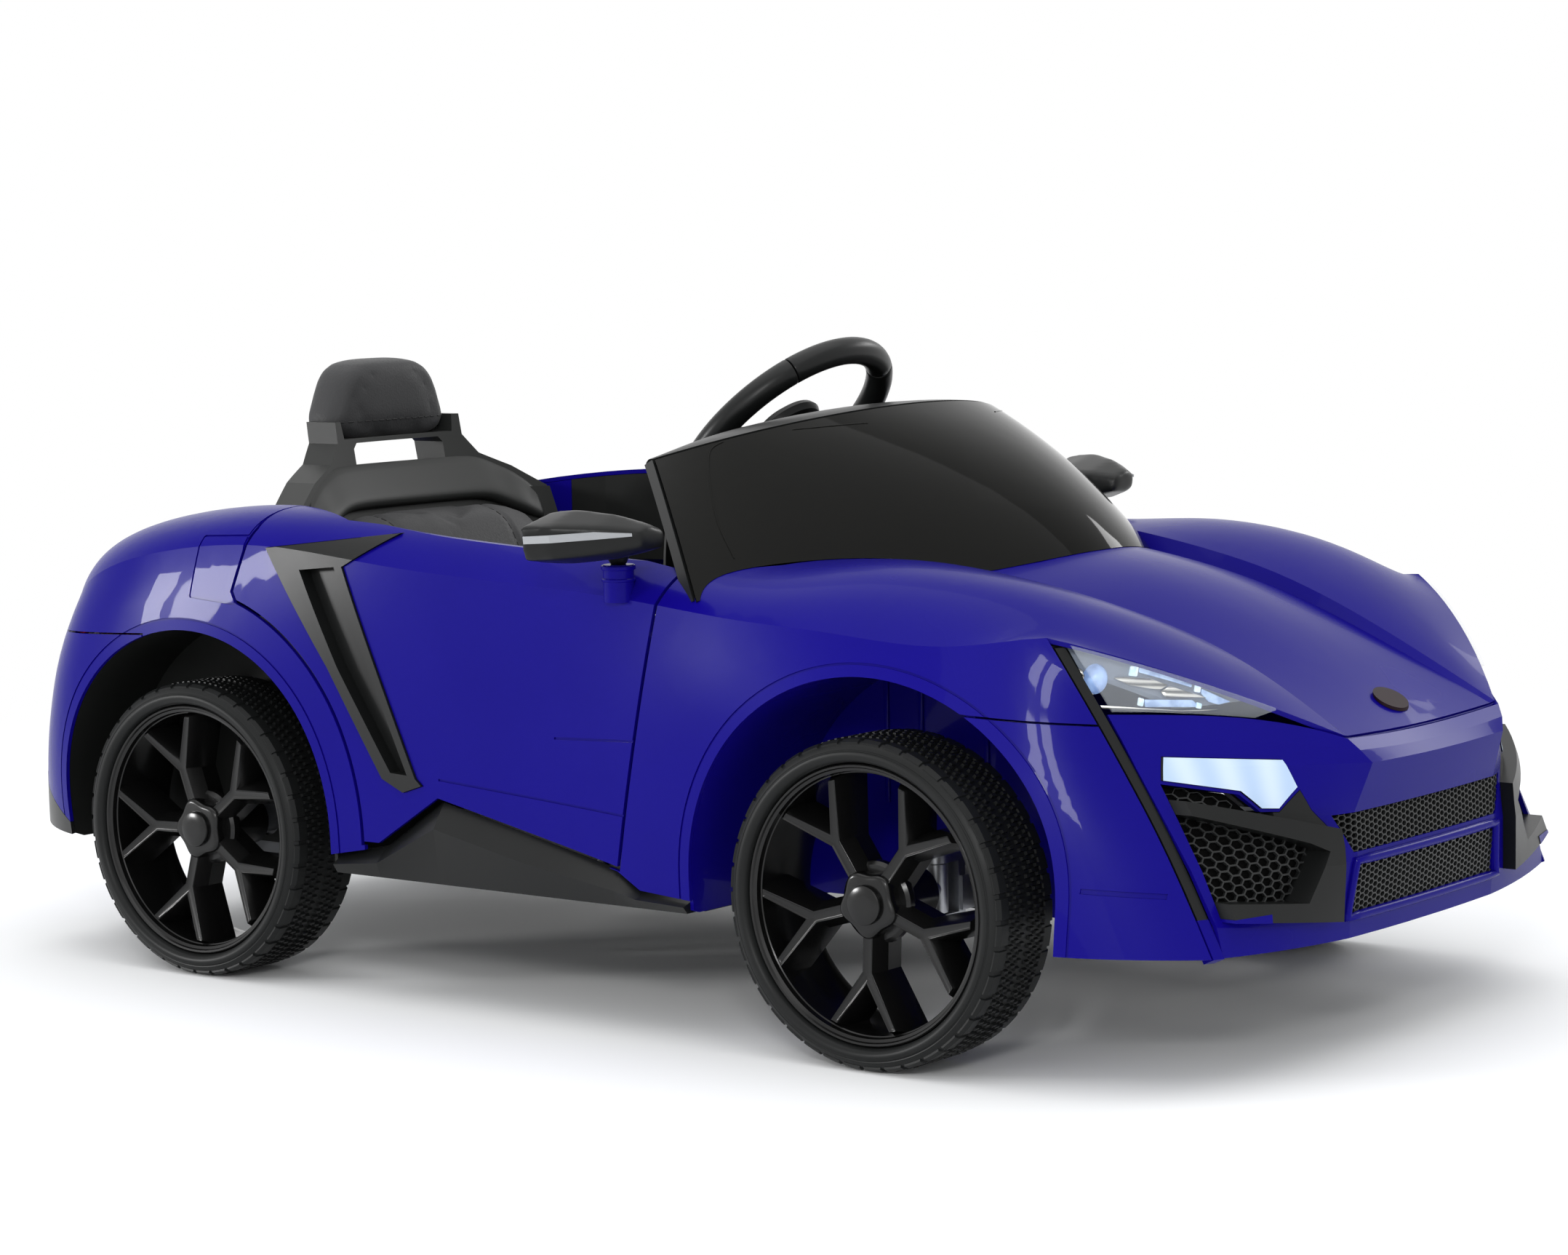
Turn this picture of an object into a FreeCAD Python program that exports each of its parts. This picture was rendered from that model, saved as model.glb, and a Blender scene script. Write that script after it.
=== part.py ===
import FreeCAD, Part
import math
import os
import re

import Sketcher
from FreeCAD import Placement, Rotation, Vector

# Child's electric ride-on sports car, in millimetres.
# X points to the nose, Y to the car's left, Z up; the origin is on the ground, mid length and width.

SIZES = {
    # layout of the car
    "wheelbase": 646,
    "front_overhang": 280,
    "rear_overhang": 230,
    "body_half_width": 300,
    "deck_height": 350,
    "panel_wall": 3.5,
    "panel_gap": 3,
    "seat_gap": 0.4,
    "cut_overrun": 40,
    "lining_wall": 3,
    # wheels
    "tyre_radius": 115,
    "tyre_width": 73,
    "tyre_outset": 3,
    "arch_radius": 150,
    "arch_lift": 6,
    "arch_band": 34,
    # lamps, frames and glass
    "lamp_stand": 1,
    "lamp_depth": 14,
    "frame_stand": 10,
    "frame_depth": 13,
    "strip_width": 7,
    "groove_width": 1.6,
    "groove_depth": 1,
    "slit_width": 3.5,
    "arch_flange": 8,
    "lens_wall": 3,
    "glass_wall": 4,
    "vent_stand": 2,
    "vent_depth": 12,
    # wheel centres
    "rim_radius": 97,
    "rim_wall": 5,
    "bead_step": 5,
    "sidewall_step": 8,
    "shoulder_step": 8,
    "hub_radius": 19,
    "hub_back": 33,
    "hub_front": 24,
    "web_back": 11,
    "web_front": 26,
    "fork_radius": 52,
    "fork_depth": 14,
    "cap_radius": 17,
    "cap_height": 12,
    "cap_wall": 2.5,
    "axle_radius": 5,
    "running_gap": 0.1,
    "nut_gap": 0.5,
    "nut_height": 5.5,
    "nut_radius": 8,
    # rear drive
    "gearbox_half": 40,
    "gearbox_wall": 4,
    "gearbox_set": 89,
    "gearbox_width": 64,
    "gearbox_foot": 24,
    "drive_gear_set": 26,
    "drive_gear_width": 14,
    "drive_gear_radius": 30,
    "drive_boss": 12,
    "motor_offset": 21,
    "motor_radius": 17,
    "motor_length": 58,
    "motor_cap": 6,
    # front axle and steering
    "knuckle_half": 17,
    "knuckle_radius": 9,
    "kingpin_set": 91,
    "kingpin_radius": 5.9,
    "lug_gap": 1,
    "lug_wall": 6,
    "lug_radius": 10,
    "beam_width": 24,
    "beam_set": 16,
    "collar_radius": 8,
    "steer_arm": 34,
    "arm_width": 12,
    "arm_wall": 7,
    "pin_radius": 4,
    "eye_radius": 9,
    "tie_height": 112,
    "tie_wall": 4,
    "tie_width": 12,
    "slot_plate_half": 18,
    "slot_half_length": 8,
    "slot_half_width": 6,
    "column_radius": 7,
    "crank_radius": 5,
    "pin_rise": 14,
    "bearing_place": 86,
    "bearing_radius": 16,
    "bearing_length": 30,
    "post_half": 14,
    "ring_radius": 90,
    "ring_tube": 10.5,
    "wheel_hub_radius": 30,
    "hub_depth": 26,
    "hub_top": 6,
    "hub_bore_end": 9,
    "spoke_width": 24,
    "spoke_wall": 8,
    "spoke_drop": 10,
    "horn_radius": 22,
    "horn_recess_depth": 11,
    "horn_travel": 3,
    "horn_height": 10,
    # floor, cabin and controls
    "floor_height": 92,
    "floor_wall": 6,
    "keel_depth": 20,
    "battery_height": 66,
    "control_height": 28,
    "pedal_lift": 12,
    "pedal_length": 80,
    "pedal_width": 56,
    "pedal_wall": 5,
    "pedal_barrel_radius": 7,
    "pedal_ear": 5,
    "hinge_pin": 3,
    "lever_radius": 4,
    "lever_length": 78,
    "lever_knob_radius": 10,
    "lever_barrel": 7,
    "lever_width": 20,
    "lever_slot_half": 12,
    "button_radius": 11,
    "button_length": 20,
    "liner_front_set": 40,
    "liner_rear_gap": 0.3,
    "seat_wall": 8,
    "stand_wall": 4,
    "seat_pad_half": 98,
    # doors and mirrors
    "hinge_inset": 21,
    "hinge_set": 27,
    "hinge_barrel": 7,
    "hinge_arm_inset": 16,
    "hinge_reach": 60,
    "barrel_room": 30,
    "liner_inset": 40,
    "liner_step": 7,
    "mirror_recess": 5,
    "socket_radius": 11,
    "stalk_radius": 7.5,
    "stalk_pin": 4,
    "stalk_rise": 14,
    "oval_half_length": 11,
    "oval_half_width": 16,
    "oval_stand": 2.4,
}

doc = FreeCAD.newDocument("ride_on_car")
sheet = doc.addObject("Spreadsheet::Sheet", "sizes")
for row, (alias, value) in enumerate(SIZES.items(), start=1):
    sheet.set(f"A{row}", alias)
    sheet.set(f"B{row}", str(value))
    sheet.setAlias(f"B{row}", alias)
doc.recompute()

# Sums of the driving sizes that several pieces share.
DERIVED = {
    "half_length": "(rear_overhang + wheelbase + front_overhang) / 2",
    "rear_axle_x": "rear_overhang - half_length",
    "front_axle_x": "half_length - front_overhang",
    "arch_z": "tyre_radius + arch_lift",
    "floor_top": "floor_height + floor_wall",
    "tyre_outer_face": "body_half_width + tyre_outset",
    "gearbox_outer": "tyre_outer_face - gearbox_set",
    "gearbox_inner": "gearbox_outer - gearbox_width",
    "drive_gear_place": "gearbox_inner + drive_gear_set",
    "kingpin_y": "tyre_outer_face - kingpin_set",
    "beam_half_span": "kingpin_y - beam_set",
    "liner_front_y": "kingpin_y - liner_front_set",
    "liner_rear_y": "gearbox_outer + liner_rear_gap",
    "hinge_y": "body_half_width - hinge_inset",
    "liner_inside_y": "body_half_width - liner_inset",
}


def bound(text):
    """The same sum with every name pointing at its cell in the sheet."""

    def cell(match):
        name = match.group(0)
        if name in SIZES:
            return "sizes." + name
        if name in DERIVED:
            return "(" + bound(DERIVED[name]) + ")"
        return name

    return re.sub(r"[a-z][a-z_0-9]*", cell, str(text))


def num(text):
    """The present value of a sum of named sizes."""
    return float(sheet.evalExpression(bound(text)))


def along(share):
    """Place along the car: 0 is the rear axle, 1 the front axle, -1 the tail and 2 the nose."""
    if share < 0:
        return f"rear_axle_x + {share} * rear_overhang"
    if share <= 1:
        return f"rear_axle_x + {share} * wheelbase"
    return f"front_axle_x + {round(share - 1, 4)} * front_overhang"


def across(share):
    return f"{share} * body_half_width"


def up(share):
    return f"{share} * deck_height"


def spot(along_share, across_share, up_share):
    """A point of the car given in shares of its length, half width and height."""
    return Vector(num(along(along_share)), num(across(across_share)), num(up(up_share)))


# Curved sheets: a grid of poles, split into patches at its creases.


def patch(poles):
    """One B-spline face whose boundary rows are curves of the same poles."""
    surface = Part.BSplineSurface()
    counts = (len(poles), len(poles[0]))
    degrees = [min(3, count - 1) for count in counts]
    knots = []
    mults = []
    for count, degree in zip(counts, degrees):
        spans = count - degree
        knots.append([float(i) for i in range(spans + 1)])
        mults.append([degree + 1] + [1] * (spans - 1) + [degree + 1])
    surface.buildFromPolesMultsKnots(
        poles, mults[0], mults[1], knots[0], knots[1], False, False, degrees[0], degrees[1]
    )
    return surface.toShape()


def spans(creases):
    return list(zip(creases[:-1], creases[1:]))


def thick_sheet(outer, inner, row_creases, column_creases):
    """The solid between two grids of poles that have the same creases."""
    faces = []
    for grid in (outer, inner):
        for r0, r1 in spans(row_creases):
            for c0, c1 in spans(column_creases):
                faces.append(patch([line[c0 : c1 + 1] for line in grid[r0 : r1 + 1]]))
    for row in (0, -1):
        for c0, c1 in spans(column_creases):
            faces.append(patch([outer[row][c0 : c1 + 1], inner[row][c0 : c1 + 1]]))
    for column in (0, -1):
        for r0, r1 in spans(row_creases):
            edge = [[grid[r][column] for r in range(r0, r1 + 1)] for grid in (outer, inner)]
            faces.append(patch(edge))
    shell = Part.Shell(faces)
    shell.sewShape()
    solid = Part.Solid(shell)
    if solid.Volume < 0:
        solid.reverse()
    return solid


def moved_in(grid, depth):
    """The grid moved along its own normals; positive depths go to the inside of the car."""
    rows = len(grid)
    columns = len(grid[0])
    moved = []
    for r in range(rows):
        line = []
        for c in range(columns):
            along_rows = grid[min(r + 1, rows - 1)][c] - grid[max(r - 1, 0)][c]
            before = grid[r][c] - grid[r][max(c - 1, 0)]
            after = grid[r][min(c + 1, columns - 1)] - grid[r][c]
            normal = Vector(0, 0, 0)
            for step in (before, after):
                if step.Length > 0:
                    side = along_rows.cross(step)
                    normal += side / side.Length
            line.append(grid[r][c] - normal / normal.Length * depth)
        moved.append(line)
    return moved


def both_sides(half_line):
    """A line of poles from the right sill to the centre, continued to the left sill."""
    return half_line + [Vector(p.x, -p.y, p.z) for p in reversed(half_line[:-1])]


def blended(stations, count, stops):
    """One station per column, straight between the stops."""
    values = []
    for column in range(count):
        for (c0, c1), (s0, s1) in zip(spans(stops), spans(stations)):
            if c0 <= column <= c1:
                value = s0 + (s1 - s0) * (column - c0) / (c1 - c0)
        values.append(round(value, 4))
    return values


# The body skin: each row is one cross section from the right sill, over belt and ridge, to the centre.
# First the stations of sill, belt, ridge and centre, then shares of half width and height.
SKIN_STOPS = (0, 4, 6, 9)
SKIN_SHARES = [
    ((-0.943, -0.804, -0.878, -0.965),
     (0.833, 0.286), (0.86, 0.43), (0.86, 0.57), (0.833, 0.70), (0.785, 0.785),
     (0.732, 0.844), (0.633, 0.863), (0.617, 0.866), (0.317, 0.88), (0, 0.886)),
    ((-0.791, -0.674, -0.726, -0.791),
     (0.94, 0.28), (0.973, 0.43), (0.98, 0.585), (0.96, 0.73), (0.893, 0.83),
     (0.832, 0.914), (0.683, 0.931), (0.667, 0.934), (0.333, 0.943), (0, 0.946)),
    ((-0.465, -0.465, -0.465, -0.465),
     (0.993, 0.277), (1.013, 0.43), (1.017, 0.6), (1.003, 0.77), (0.96, 0.9),
     (0.895, 0.986), (0.717, 0.991), (0.7, 0.994), (0.35, 1.0), (0, 1.0)),
    ((-0.117, -0.117, -0.117, -0.117),
     (1.0, 0.277), (1.017, 0.43), (1.02, 0.614), (1.01, 0.814), (0.973, 0.949),
     (0.917, 1.023), (0.74, 1.029), (0.723, 1.029), (0.36, 1.023), (0, 1.02)),
    ((0.094, 0.094, 0.094, 0.094),
     (1.0, 0.277), (1.013, 0.43), (1.013, 0.614), (1.0, 0.829), (0.963, 0.974),
     (0.922, 1.047), (0.767, 1.046), (0.75, 1.046), (0.37, 1.037), (0, 1.034)),
    ((0.221, 0.221, 0.221, 0.221),
     (1.0, 0.277), (1.01, 0.43), (1.0, 0.614), (0.987, 0.814), (0.967, 0.954),
     (0.925, 1.014), (0.86, 1.031), (0.84, 1.031), (0.42, 1.03), (0, 1.03)),
    ((0.345, 0.345, 0.345, 0.345),
     (0.987, 0.277), (0.993, 0.43), (0.983, 0.614), (0.977, 0.8), (0.973, 0.931),
     (0.925, 0.985), (0.893, 1.0), (0.873, 1.0), (0.43, 1.0), (0, 1.0)),
    ((0.5, 0.5, 0.5, 0.5),
     (0.98, 0.277), (0.987, 0.43), (0.98, 0.6), (0.973, 0.771), (0.97, 0.917),
     (0.923, 0.966), (0.893, 0.984), (0.873, 0.984), (0.43, 0.99), (0, 0.99)),
    ((0.624, 0.624, 0.624, 0.624),
     (0.98, 0.277), (0.987, 0.43), (0.98, 0.6), (0.973, 0.757), (0.97, 0.906),
     (0.923, 0.953), (0.893, 0.971), (0.873, 0.971), (0.43, 0.98), (0, 0.98)),
    ((0.732, 0.732, 0.732, 0.732),
     (0.99, 0.277), (0.997, 0.43), (0.997, 0.586), (0.987, 0.743), (0.967, 0.886),
     (0.92, 0.94), (0.86, 0.963), (0.84, 0.963), (0.42, 0.975), (0, 0.98)),
    ((0.833, 0.833, 0.833, 0.833),
     (1.0, 0.277), (1.01, 0.43), (1.013, 0.571), (1.007, 0.729), (0.977, 0.866),
     (0.89, 0.976), (0.55, 0.966), (0.53, 0.943), (0.27, 0.969), (0, 0.98)),
    ((0.941, 0.941, 0.941, 0.941),
     (1.007, 0.277), (1.017, 0.43), (1.02, 0.571), (1.013, 0.72), (0.98, 0.86),
     (0.85, 1.034), (0.447, 0.955), (0.427, 0.925), (0.22, 0.962), (0, 0.983)),
    ((1.132, 1.132, 1.132, 1.132),
     (1.007, 0.277), (1.017, 0.43), (1.017, 0.566), (1.003, 0.71), (0.96, 0.834),
     (0.783, 1.029), (0.433, 0.915), (0.413, 0.886), (0.21, 0.935), (0, 0.957)),
    ((1.382, 1.293, 1.382, 1.4),
     (0.993, 0.271), (1.003, 0.414), (0.997, 0.543), (0.973, 0.69), (0.92, 0.84),
     (0.72, 0.973), (0.373, 0.871), (0.357, 0.843), (0.18, 0.878), (0, 0.889)),
    ((1.632, 1.382, 1.675, 1.686),
     (0.967, 0.266), (0.96, 0.41), (0.943, 0.56), (0.917, 0.7), (0.877, 0.854),
     (0.633, 0.886), (0.323, 0.78), (0.307, 0.757), (0.153, 0.762), (0, 0.766)),
    ((1.854, 1.443, 1.946, 1.939),
     (0.79, 0.263), (0.797, 0.443), (0.807, 0.58), (0.82, 0.717), (0.85, 0.857),
     (0.66, 0.79), (0.36, 0.649), (0.34, 0.646), (0.17, 0.64), (0, 0.637)),
]


def skin_grid():
    grid = []
    for stations, *places in SKIN_SHARES:
        columns = blended(stations, len(places), SKIN_STOPS)
        half = [spot(s, -y, z) for s, (y, z) in zip(columns, places)]
        grid.append(both_sides(half))
    return grid


skin = skin_grid()
skin_rows = (0, len(skin) - 1)
skin_columns = (0, 4, 6, 7, 11, 12, 14, 18)
panel_wall = num("panel_wall")
skin_solid = thick_sheet(skin, moved_in(skin, panel_wall), skin_rows, skin_columns)


# Flat outlines that cut the skin into panels.


def side_prism(points, low_y, high_y):
    """A prism through the car from an outline in side view."""
    wire = Part.makePolygon([Vector(x, low_y, z) for x, z in points + points[:1]])
    return Part.Face(wire).extrude(Vector(0, high_y - low_y, 0))


def front_prism(points, low_x, high_x):
    """A prism along the car from an outline in front view."""
    wire = Part.makePolygon([Vector(low_x, y, z) for y, z in points + points[:1]])
    return Part.Face(wire).extrude(Vector(high_x - low_x, 0, 0))


def plan_prism(points, low_z, high_z):
    """An upright prism from an outline in plan."""
    wire = Part.makePolygon([Vector(x, y, low_z) for x, y in points + points[:1]])
    return Part.Face(wire).extrude(Vector(0, 0, high_z - low_z))


SHARPEST_CORNER = 0.4


def grown(points, gap):
    """The outline moved outwards by the gap on every side."""
    count = len(points)
    turn = sum(
        points[i][0] * points[(i + 1) % count][1] - points[(i + 1) % count][0] * points[i][1]
        for i in range(count)
    )
    sign = 1 if turn > 0 else -1
    moved = []
    for i in range(count):
        (x0, z0), (x1, z1), (x2, z2) = points[i - 1], points[i], points[(i + 1) % count]
        first = Vector(x1 - x0, z1 - z0, 0).normalize()
        second = Vector(x2 - x1, z2 - z1, 0).normalize()
        normal = Vector(first.y + second.y, -first.x - second.x, 0).normalize()
        reach = sign * gap / max(normal.dot(Vector(first.y, -first.x, 0)), SHARPEST_CORNER)
        moved.append((x1 + normal.x * reach, z1 + normal.y * reach))
    return moved


def flat(shares):
    """Side-view points from shares of length and height."""
    return [(num(along(a)), num(up(u))) for a, u in shares]


def mirrored(shape):
    return shape.mirror(Vector(0, 0, 0), Vector(0, 1, 0))


def biggest(shape):
    return max(shape.Solids, key=lambda solid: solid.Volume)


def ribbon(points, width):
    """A narrow outline along a line of side-view points."""
    low = []
    high = []
    for i, (x, z) in enumerate(points):
        before = points[max(i - 1, 0)]
        after = points[min(i + 1, len(points) - 1)]
        step = Vector(after[0] - before[0], after[1] - before[1], 0).normalize() * (width / 2)
        low.append((x + step.y, z - step.x))
        high.append((x - step.y, z + step.x))
    return low + high[::-1]


far = num("body_half_width + cut_overrun")
top = num("deck_height + cut_overrun * 3")
nose = num("half_length + cut_overrun")

DOOR_SHARES = [
    (0.663, 0.351), (0.398, 0.454), (0.307, 0.346), (0.27, 0.346), (0.2, 0.5),
    (0.079, 0.866), (0.1, 1.0), (0.09, 1.2), (0.748, 1.2),
]
door_outline = flat(DOOR_SHARES)
arch_x = {"front": num("front_axle_x"), "rear": num("rear_axle_x")}
arch_z = num("arch_z")


def arch_cutter(place, radius):
    """A wheel opening: round above the axle and straight down below it."""
    x = arch_x[place]
    start = Vector(x, -far, arch_z)
    round_part = Part.makeCylinder(radius, 2 * far, start, Vector(0, 1, 0))
    below = Part.makeBox(2 * radius, 2 * far, arch_z, Vector(x - radius, -far, 0))
    return round_part.fuse(below)


arch_radius = num("arch_radius")
front_arch = arch_cutter("front", arch_radius)
rear_arch = arch_cutter("rear", arch_radius)
rear_band = arch_cutter("rear", num("arch_radius + arch_band"))
rear_band_gap = arch_cutter("rear", num("arch_radius + arch_band - panel_gap"))

INSIDE_SHARE = 0.6
inside = -num(across(INSIDE_SHARE))
door_prism = side_prism(door_outline, -far, inside).cut(rear_band)
door_prism_gap = side_prism(grown(door_outline, num("panel_gap")), -far, far).cut(rear_band_gap)

COCKPIT_SHARES = [
    (0.742, 0.873), (0.817, 0.75), (0.906, 0.4), (0.985, 0.18), (1.0, 0),
]
COCKPIT_REAR_SHARES = [
    (0.22, 0.873), (0.094, 0.76), (-0.03, 0.72), (-0.3, 0.667), (-0.335, 0.5), (-0.357, 0),
]


def cockpit_outline():
    half = COCKPIT_REAR_SHARES[::-1] + COCKPIT_SHARES
    right = [(num(along(a)), -num(across(y))) for a, y in half]
    left = [(x, -y) for x, y in right[::-1]]
    return right + left[1:-1]


cockpit = plan_prism(cockpit_outline(), num(up(0.75)), top)

FRONT_CUT_SHARES = [(0.63, 0.15), (0.748, 1.2), (2.1, 1.2), (2.1, 0.15)]
front_region = side_prism(flat(FRONT_CUT_SHARES), -far, far)
rear_region = side_prism(flat([(0.285, 0.15), (0.285, 1.2), (-1.2, 1.2), (-1.2, 0.15)]), -far, far)

open_skin = skin_solid.cut(cockpit)
door_right = biggest(open_skin.common(door_prism))
front_part = open_skin.common(front_region).cut([door_prism_gap, front_arch])
rear_part = open_skin.common(rear_region).cut([door_prism_gap, rear_arch])


# Fascias, lamps and glass are sheets of their own; each point is a share of length, half width and height.


def sheet_grid(rows):
    return [both_sides([spot(s, -y, z) for s, y, z in row]) for row in rows]


def one_side_grid(rows):
    return [[spot(s, -y, z) for s, y, z in row] for row in rows]


def plain_sheet(grid, near, deep, column_creases=None, row_creases=None):
    """The solid between two depths of a grid."""
    rows = row_creases or (0, len(grid) - 1)
    columns = column_creases or (0, len(grid[0]) - 1)
    return thick_sheet(moved_in(grid, near), moved_in(grid, deep), rows, columns)


FASCIA_SHARES = [
    ((1.571, 0.79, 0.711), (1.721, 0.633, 0.703), (1.822, 0.487, 0.697),
     (1.957, 0.36, 0.643), (1.952, 0.18, 0.634), (1.946, 0, 0.631)),
    ((1.609, 0.787, 0.663), (1.757, 0.633, 0.654), (1.864, 0.487, 0.646),
     (1.979, 0.34, 0.62), (1.979, 0.167, 0.611), (1.975, 0, 0.609)),
    ((1.646, 0.783, 0.611), (1.786, 0.627, 0.606), (1.896, 0.477, 0.6),
     (1.996, 0.313, 0.594), (2.0, 0.157, 0.591), (2.0, 0, 0.589)),
    ((1.72, 0.777, 0.514), (1.839, 0.62, 0.506), (1.914, 0.473, 0.5),
     (1.957, 0.333, 0.497), (1.964, 0.167, 0.491), (1.964, 0, 0.489)),
    ((1.787, 0.77, 0.423), (1.879, 0.62, 0.411), (1.932, 0.473, 0.406),
     (1.964, 0.327, 0.403), (1.971, 0.167, 0.4), (1.971, 0, 0.4)),
    ((1.85, 0.763, 0.32), (1.9, 0.62, 0.303), (1.939, 0.473, 0.294),
     (1.95, 0.34, 0.289), (1.957, 0.167, 0.283), (1.957, 0, 0.28)),
    ((1.866, 0.76, 0.263), (1.907, 0.62, 0.257), (1.936, 0.473, 0.254),
     (1.946, 0.34, 0.251), (1.95, 0.167, 0.249), (1.95, 0, 0.249)),
]
FASCIA_ROWS = tuple(range(len(FASCIA_SHARES)))
FASCIA_COLUMNS = (0, 3, 7, 10)
fascia = sheet_grid(FASCIA_SHARES)

# Openings of the front fascia in front view: shares of half width and height.
UPPER_GRILLE_SHARES = [(-0.4, 0.497), (0.4, 0.497), (0.34, 0.42), (-0.34, 0.42)]
LOWER_GRILLE_SHARES = [(-0.326, 0.397), (0.326, 0.397), (0.338, 0.3), (-0.338, 0.3)]
RUNNING_LAMP_SHARES = [
    (-0.73, 0.63), (-0.506, 0.612), (-0.484, 0.559), (-0.532, 0.522), (-0.571, 0.525), (-0.606, 0.56),
    (-0.748, 0.588),
]
INTAKE_SHARES = [
    (-0.752, 0.58), (-0.61, 0.552), (-0.574, 0.517), (-0.53, 0.514), (-0.476, 0.552), (-0.452, 0.512),
    (-0.41, 0.474),
    (-0.406, 0.439), (-0.413, 0.295), (-0.742, 0.329),
]
INTAKE_BAR_SHARES = [
    (-0.765, 0.556), (-0.404, 0.473), (-0.4, 0.439), (-0.41, 0.29), (-0.75, 0.325), (-0.757, 0.365),
    (-0.524, 0.343),
    (-0.49, 0.383), (-0.45, 0.435), (-0.5, 0.455), (-0.765, 0.53),
]
INTAKE_CORNER_SHARES = [(-0.545, 0.53), (-0.476, 0.56), (-0.452, 0.513), (-0.404, 0.473), (-0.545, 0.498)]


def front_points(shares):
    return [(num(across(y)), num(up(z))) for y, z in shares]


def front_cut(shares, gap=0.0):
    points = front_points(shares)
    if gap:
        points = grown(points, gap)
    return front_prism(points, num(along(1.3)), nose)


def fascia_layer(near, deep):
    return plain_sheet(fascia, near, deep, FASCIA_COLUMNS, FASCIA_ROWS)


pieces = []


def piece(label, *shapes):
    """A sub-part of the car whose shape is one solid or a group of solids."""
    solids = [solid for shape in shapes for solid in shape.Solids]
    node = doc.addObject("Part::Feature", label)
    node.Label = label
    node.Shape = solids[0] if len(solids) == 1 else Part.makeCompound(solids)
    pieces.append(node)
    return node


def pair(shape):
    return [shape, mirrored(shape)]


seat_gap = num("seat_gap")
seam = num("panel_gap / 2")
skin_room = thick_sheet(
    moved_in(skin, -seat_gap), moved_in(skin, panel_wall + seat_gap), skin_rows, skin_columns
)

# Shallow grooves in the outer face of the side panels, in shares of length and height.
side_columns = (0, 4, 6)
skin_side = [line[:7] for line in skin]
DOOR_CREASE_SHARES = [(0.4, 0.493), (0.679, 0.456)]
WING_CREASE_SHARES = [(0.573, 0.602), (0.712, 0.612)]
BUMPER_SLIT_SHARES = [(1.585, 0.391), (1.753, 0.379)]
PATCH_SHARES = [(0.091, 0.986), (0.017, 0.98), (0.008, 0.849), (0.082, 0.838), (0.091, 0.986), (0.1, 1.08)]


def side_layer(near, deep):
    return plain_sheet(skin_side, near, deep, side_columns)


groove_layer = side_layer(num("-cut_overrun"), num("groove_depth"))


def groove(shares, width):
    """A groove along straight lines of the right-hand panels."""
    points = flat(shares)
    strips = [side_prism(ribbon(list(line), num(width)), -far, inside) for line in spans(points)]
    return [groove_layer.common(strip) for strip in strips]


def arch_groove(place):
    outer = arch_cutter(place, num("arch_radius + arch_flange + groove_width"))
    ring = outer.cut(arch_cutter(place, num("arch_radius + arch_flange")))
    return groove_layer.common(ring)


def with_mirrored(shapes):
    return shapes + [mirrored(shape) for shape in shapes]

# Front bumper: fascia with its openings, and the two ends behind the corner strips.
BUMPER_END_SHARES = [(1.2, 0.714), (1.63, 0.686), (2.1, 0.686), (2.1, 0.15), (1.2, 0.15)]
end_outline = flat(BUMPER_END_SHARES)
bumper_end = front_part.common(side_prism(end_outline, -far, inside))
bumper_end = biggest(bumper_end.cut(groove(BUMPER_SLIT_SHARES, "slit_width") + [arch_groove("front")]))
fascia_panel = biggest(fascia_layer(0, panel_wall).cut(skin_room))
fascia_panel = fascia_panel.cut([front_cut(UPPER_GRILLE_SHARES), front_cut(LOWER_GRILLE_SHARES)])
for outline in (INTAKE_SHARES, RUNNING_LAMP_SHARES):
    fascia_panel = fascia_panel.cut(pair(front_cut(outline, seat_gap)))
piece("front_bumper", fascia_panel, *pair(bumper_end))

running_lamp = fascia_layer(num("-lamp_stand"), num("lamp_depth")).common(front_cut(RUNNING_LAMP_SHARES))
piece("running_lamps", *pair(biggest(running_lamp)))

# The intake's projecting bars run along its top, inner side and foot, in front of the mesh.
bar_depth = num("frame_depth - lining_wall - seat_gap")
intake_room = front_cut(INTAKE_SHARES)
intake_bars = fascia_layer(num("-frame_stand"), bar_depth).common(front_cut(INTAKE_BAR_SHARES))
intake_corner = fascia_layer(0, bar_depth).common(front_cut(INTAKE_CORNER_SHARES))
intake_frame = biggest(intake_bars.fuse(intake_corner).common(intake_room))

# The black strip from the lamp's corner down the bumper's corner follows the skin's front edge.
strip_edge = skin[-1][:5]
strip_step = Vector(num("strip_width / 2"), num("strip_width"), 0)
strip_gap = strip_step / strip_step.Length * seam


def strip_grid():
    start = [p + strip_gap for p in strip_edge]
    return [start, [p + strip_step for p in start]]


corner_strip = plain_sheet(strip_grid(), 0, num("frame_depth"))
above_strip = Part.makeBox(nose, 2 * far, top, Vector(0, -far, strip_edge[-1].z - num("strip_width")))
corner_strip = biggest(corner_strip.cut([above_strip, skin_room]))
piece("intake_frames", *pair(intake_frame), *pair(corner_strip))

mesh_layer = fascia_layer(num("frame_depth - lining_wall"), num("frame_depth"))
grille_layer = fascia_layer(num("panel_wall + seat_gap"), num("panel_wall + seat_gap + lining_wall"))
grille_outlines = (UPPER_GRILLE_SHARES, LOWER_GRILLE_SHARES)
meshes = [grille_layer.common(front_cut(outline, num("panel_gap"))) for outline in grille_outlines]
intake_mesh = biggest(mesh_layer.common(intake_room))
piece("grille_meshes", *meshes, *pair(intake_mesh))

# What lies just under the skin, for trimming linings to it.
under_skin = thick_sheet(
    moved_in(skin, panel_wall + seat_gap),
    [[Vector(p.x, p.y / 2, p.z / 2) for p in line] for line in skin],
    skin_rows,
    skin_columns,
)

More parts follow.
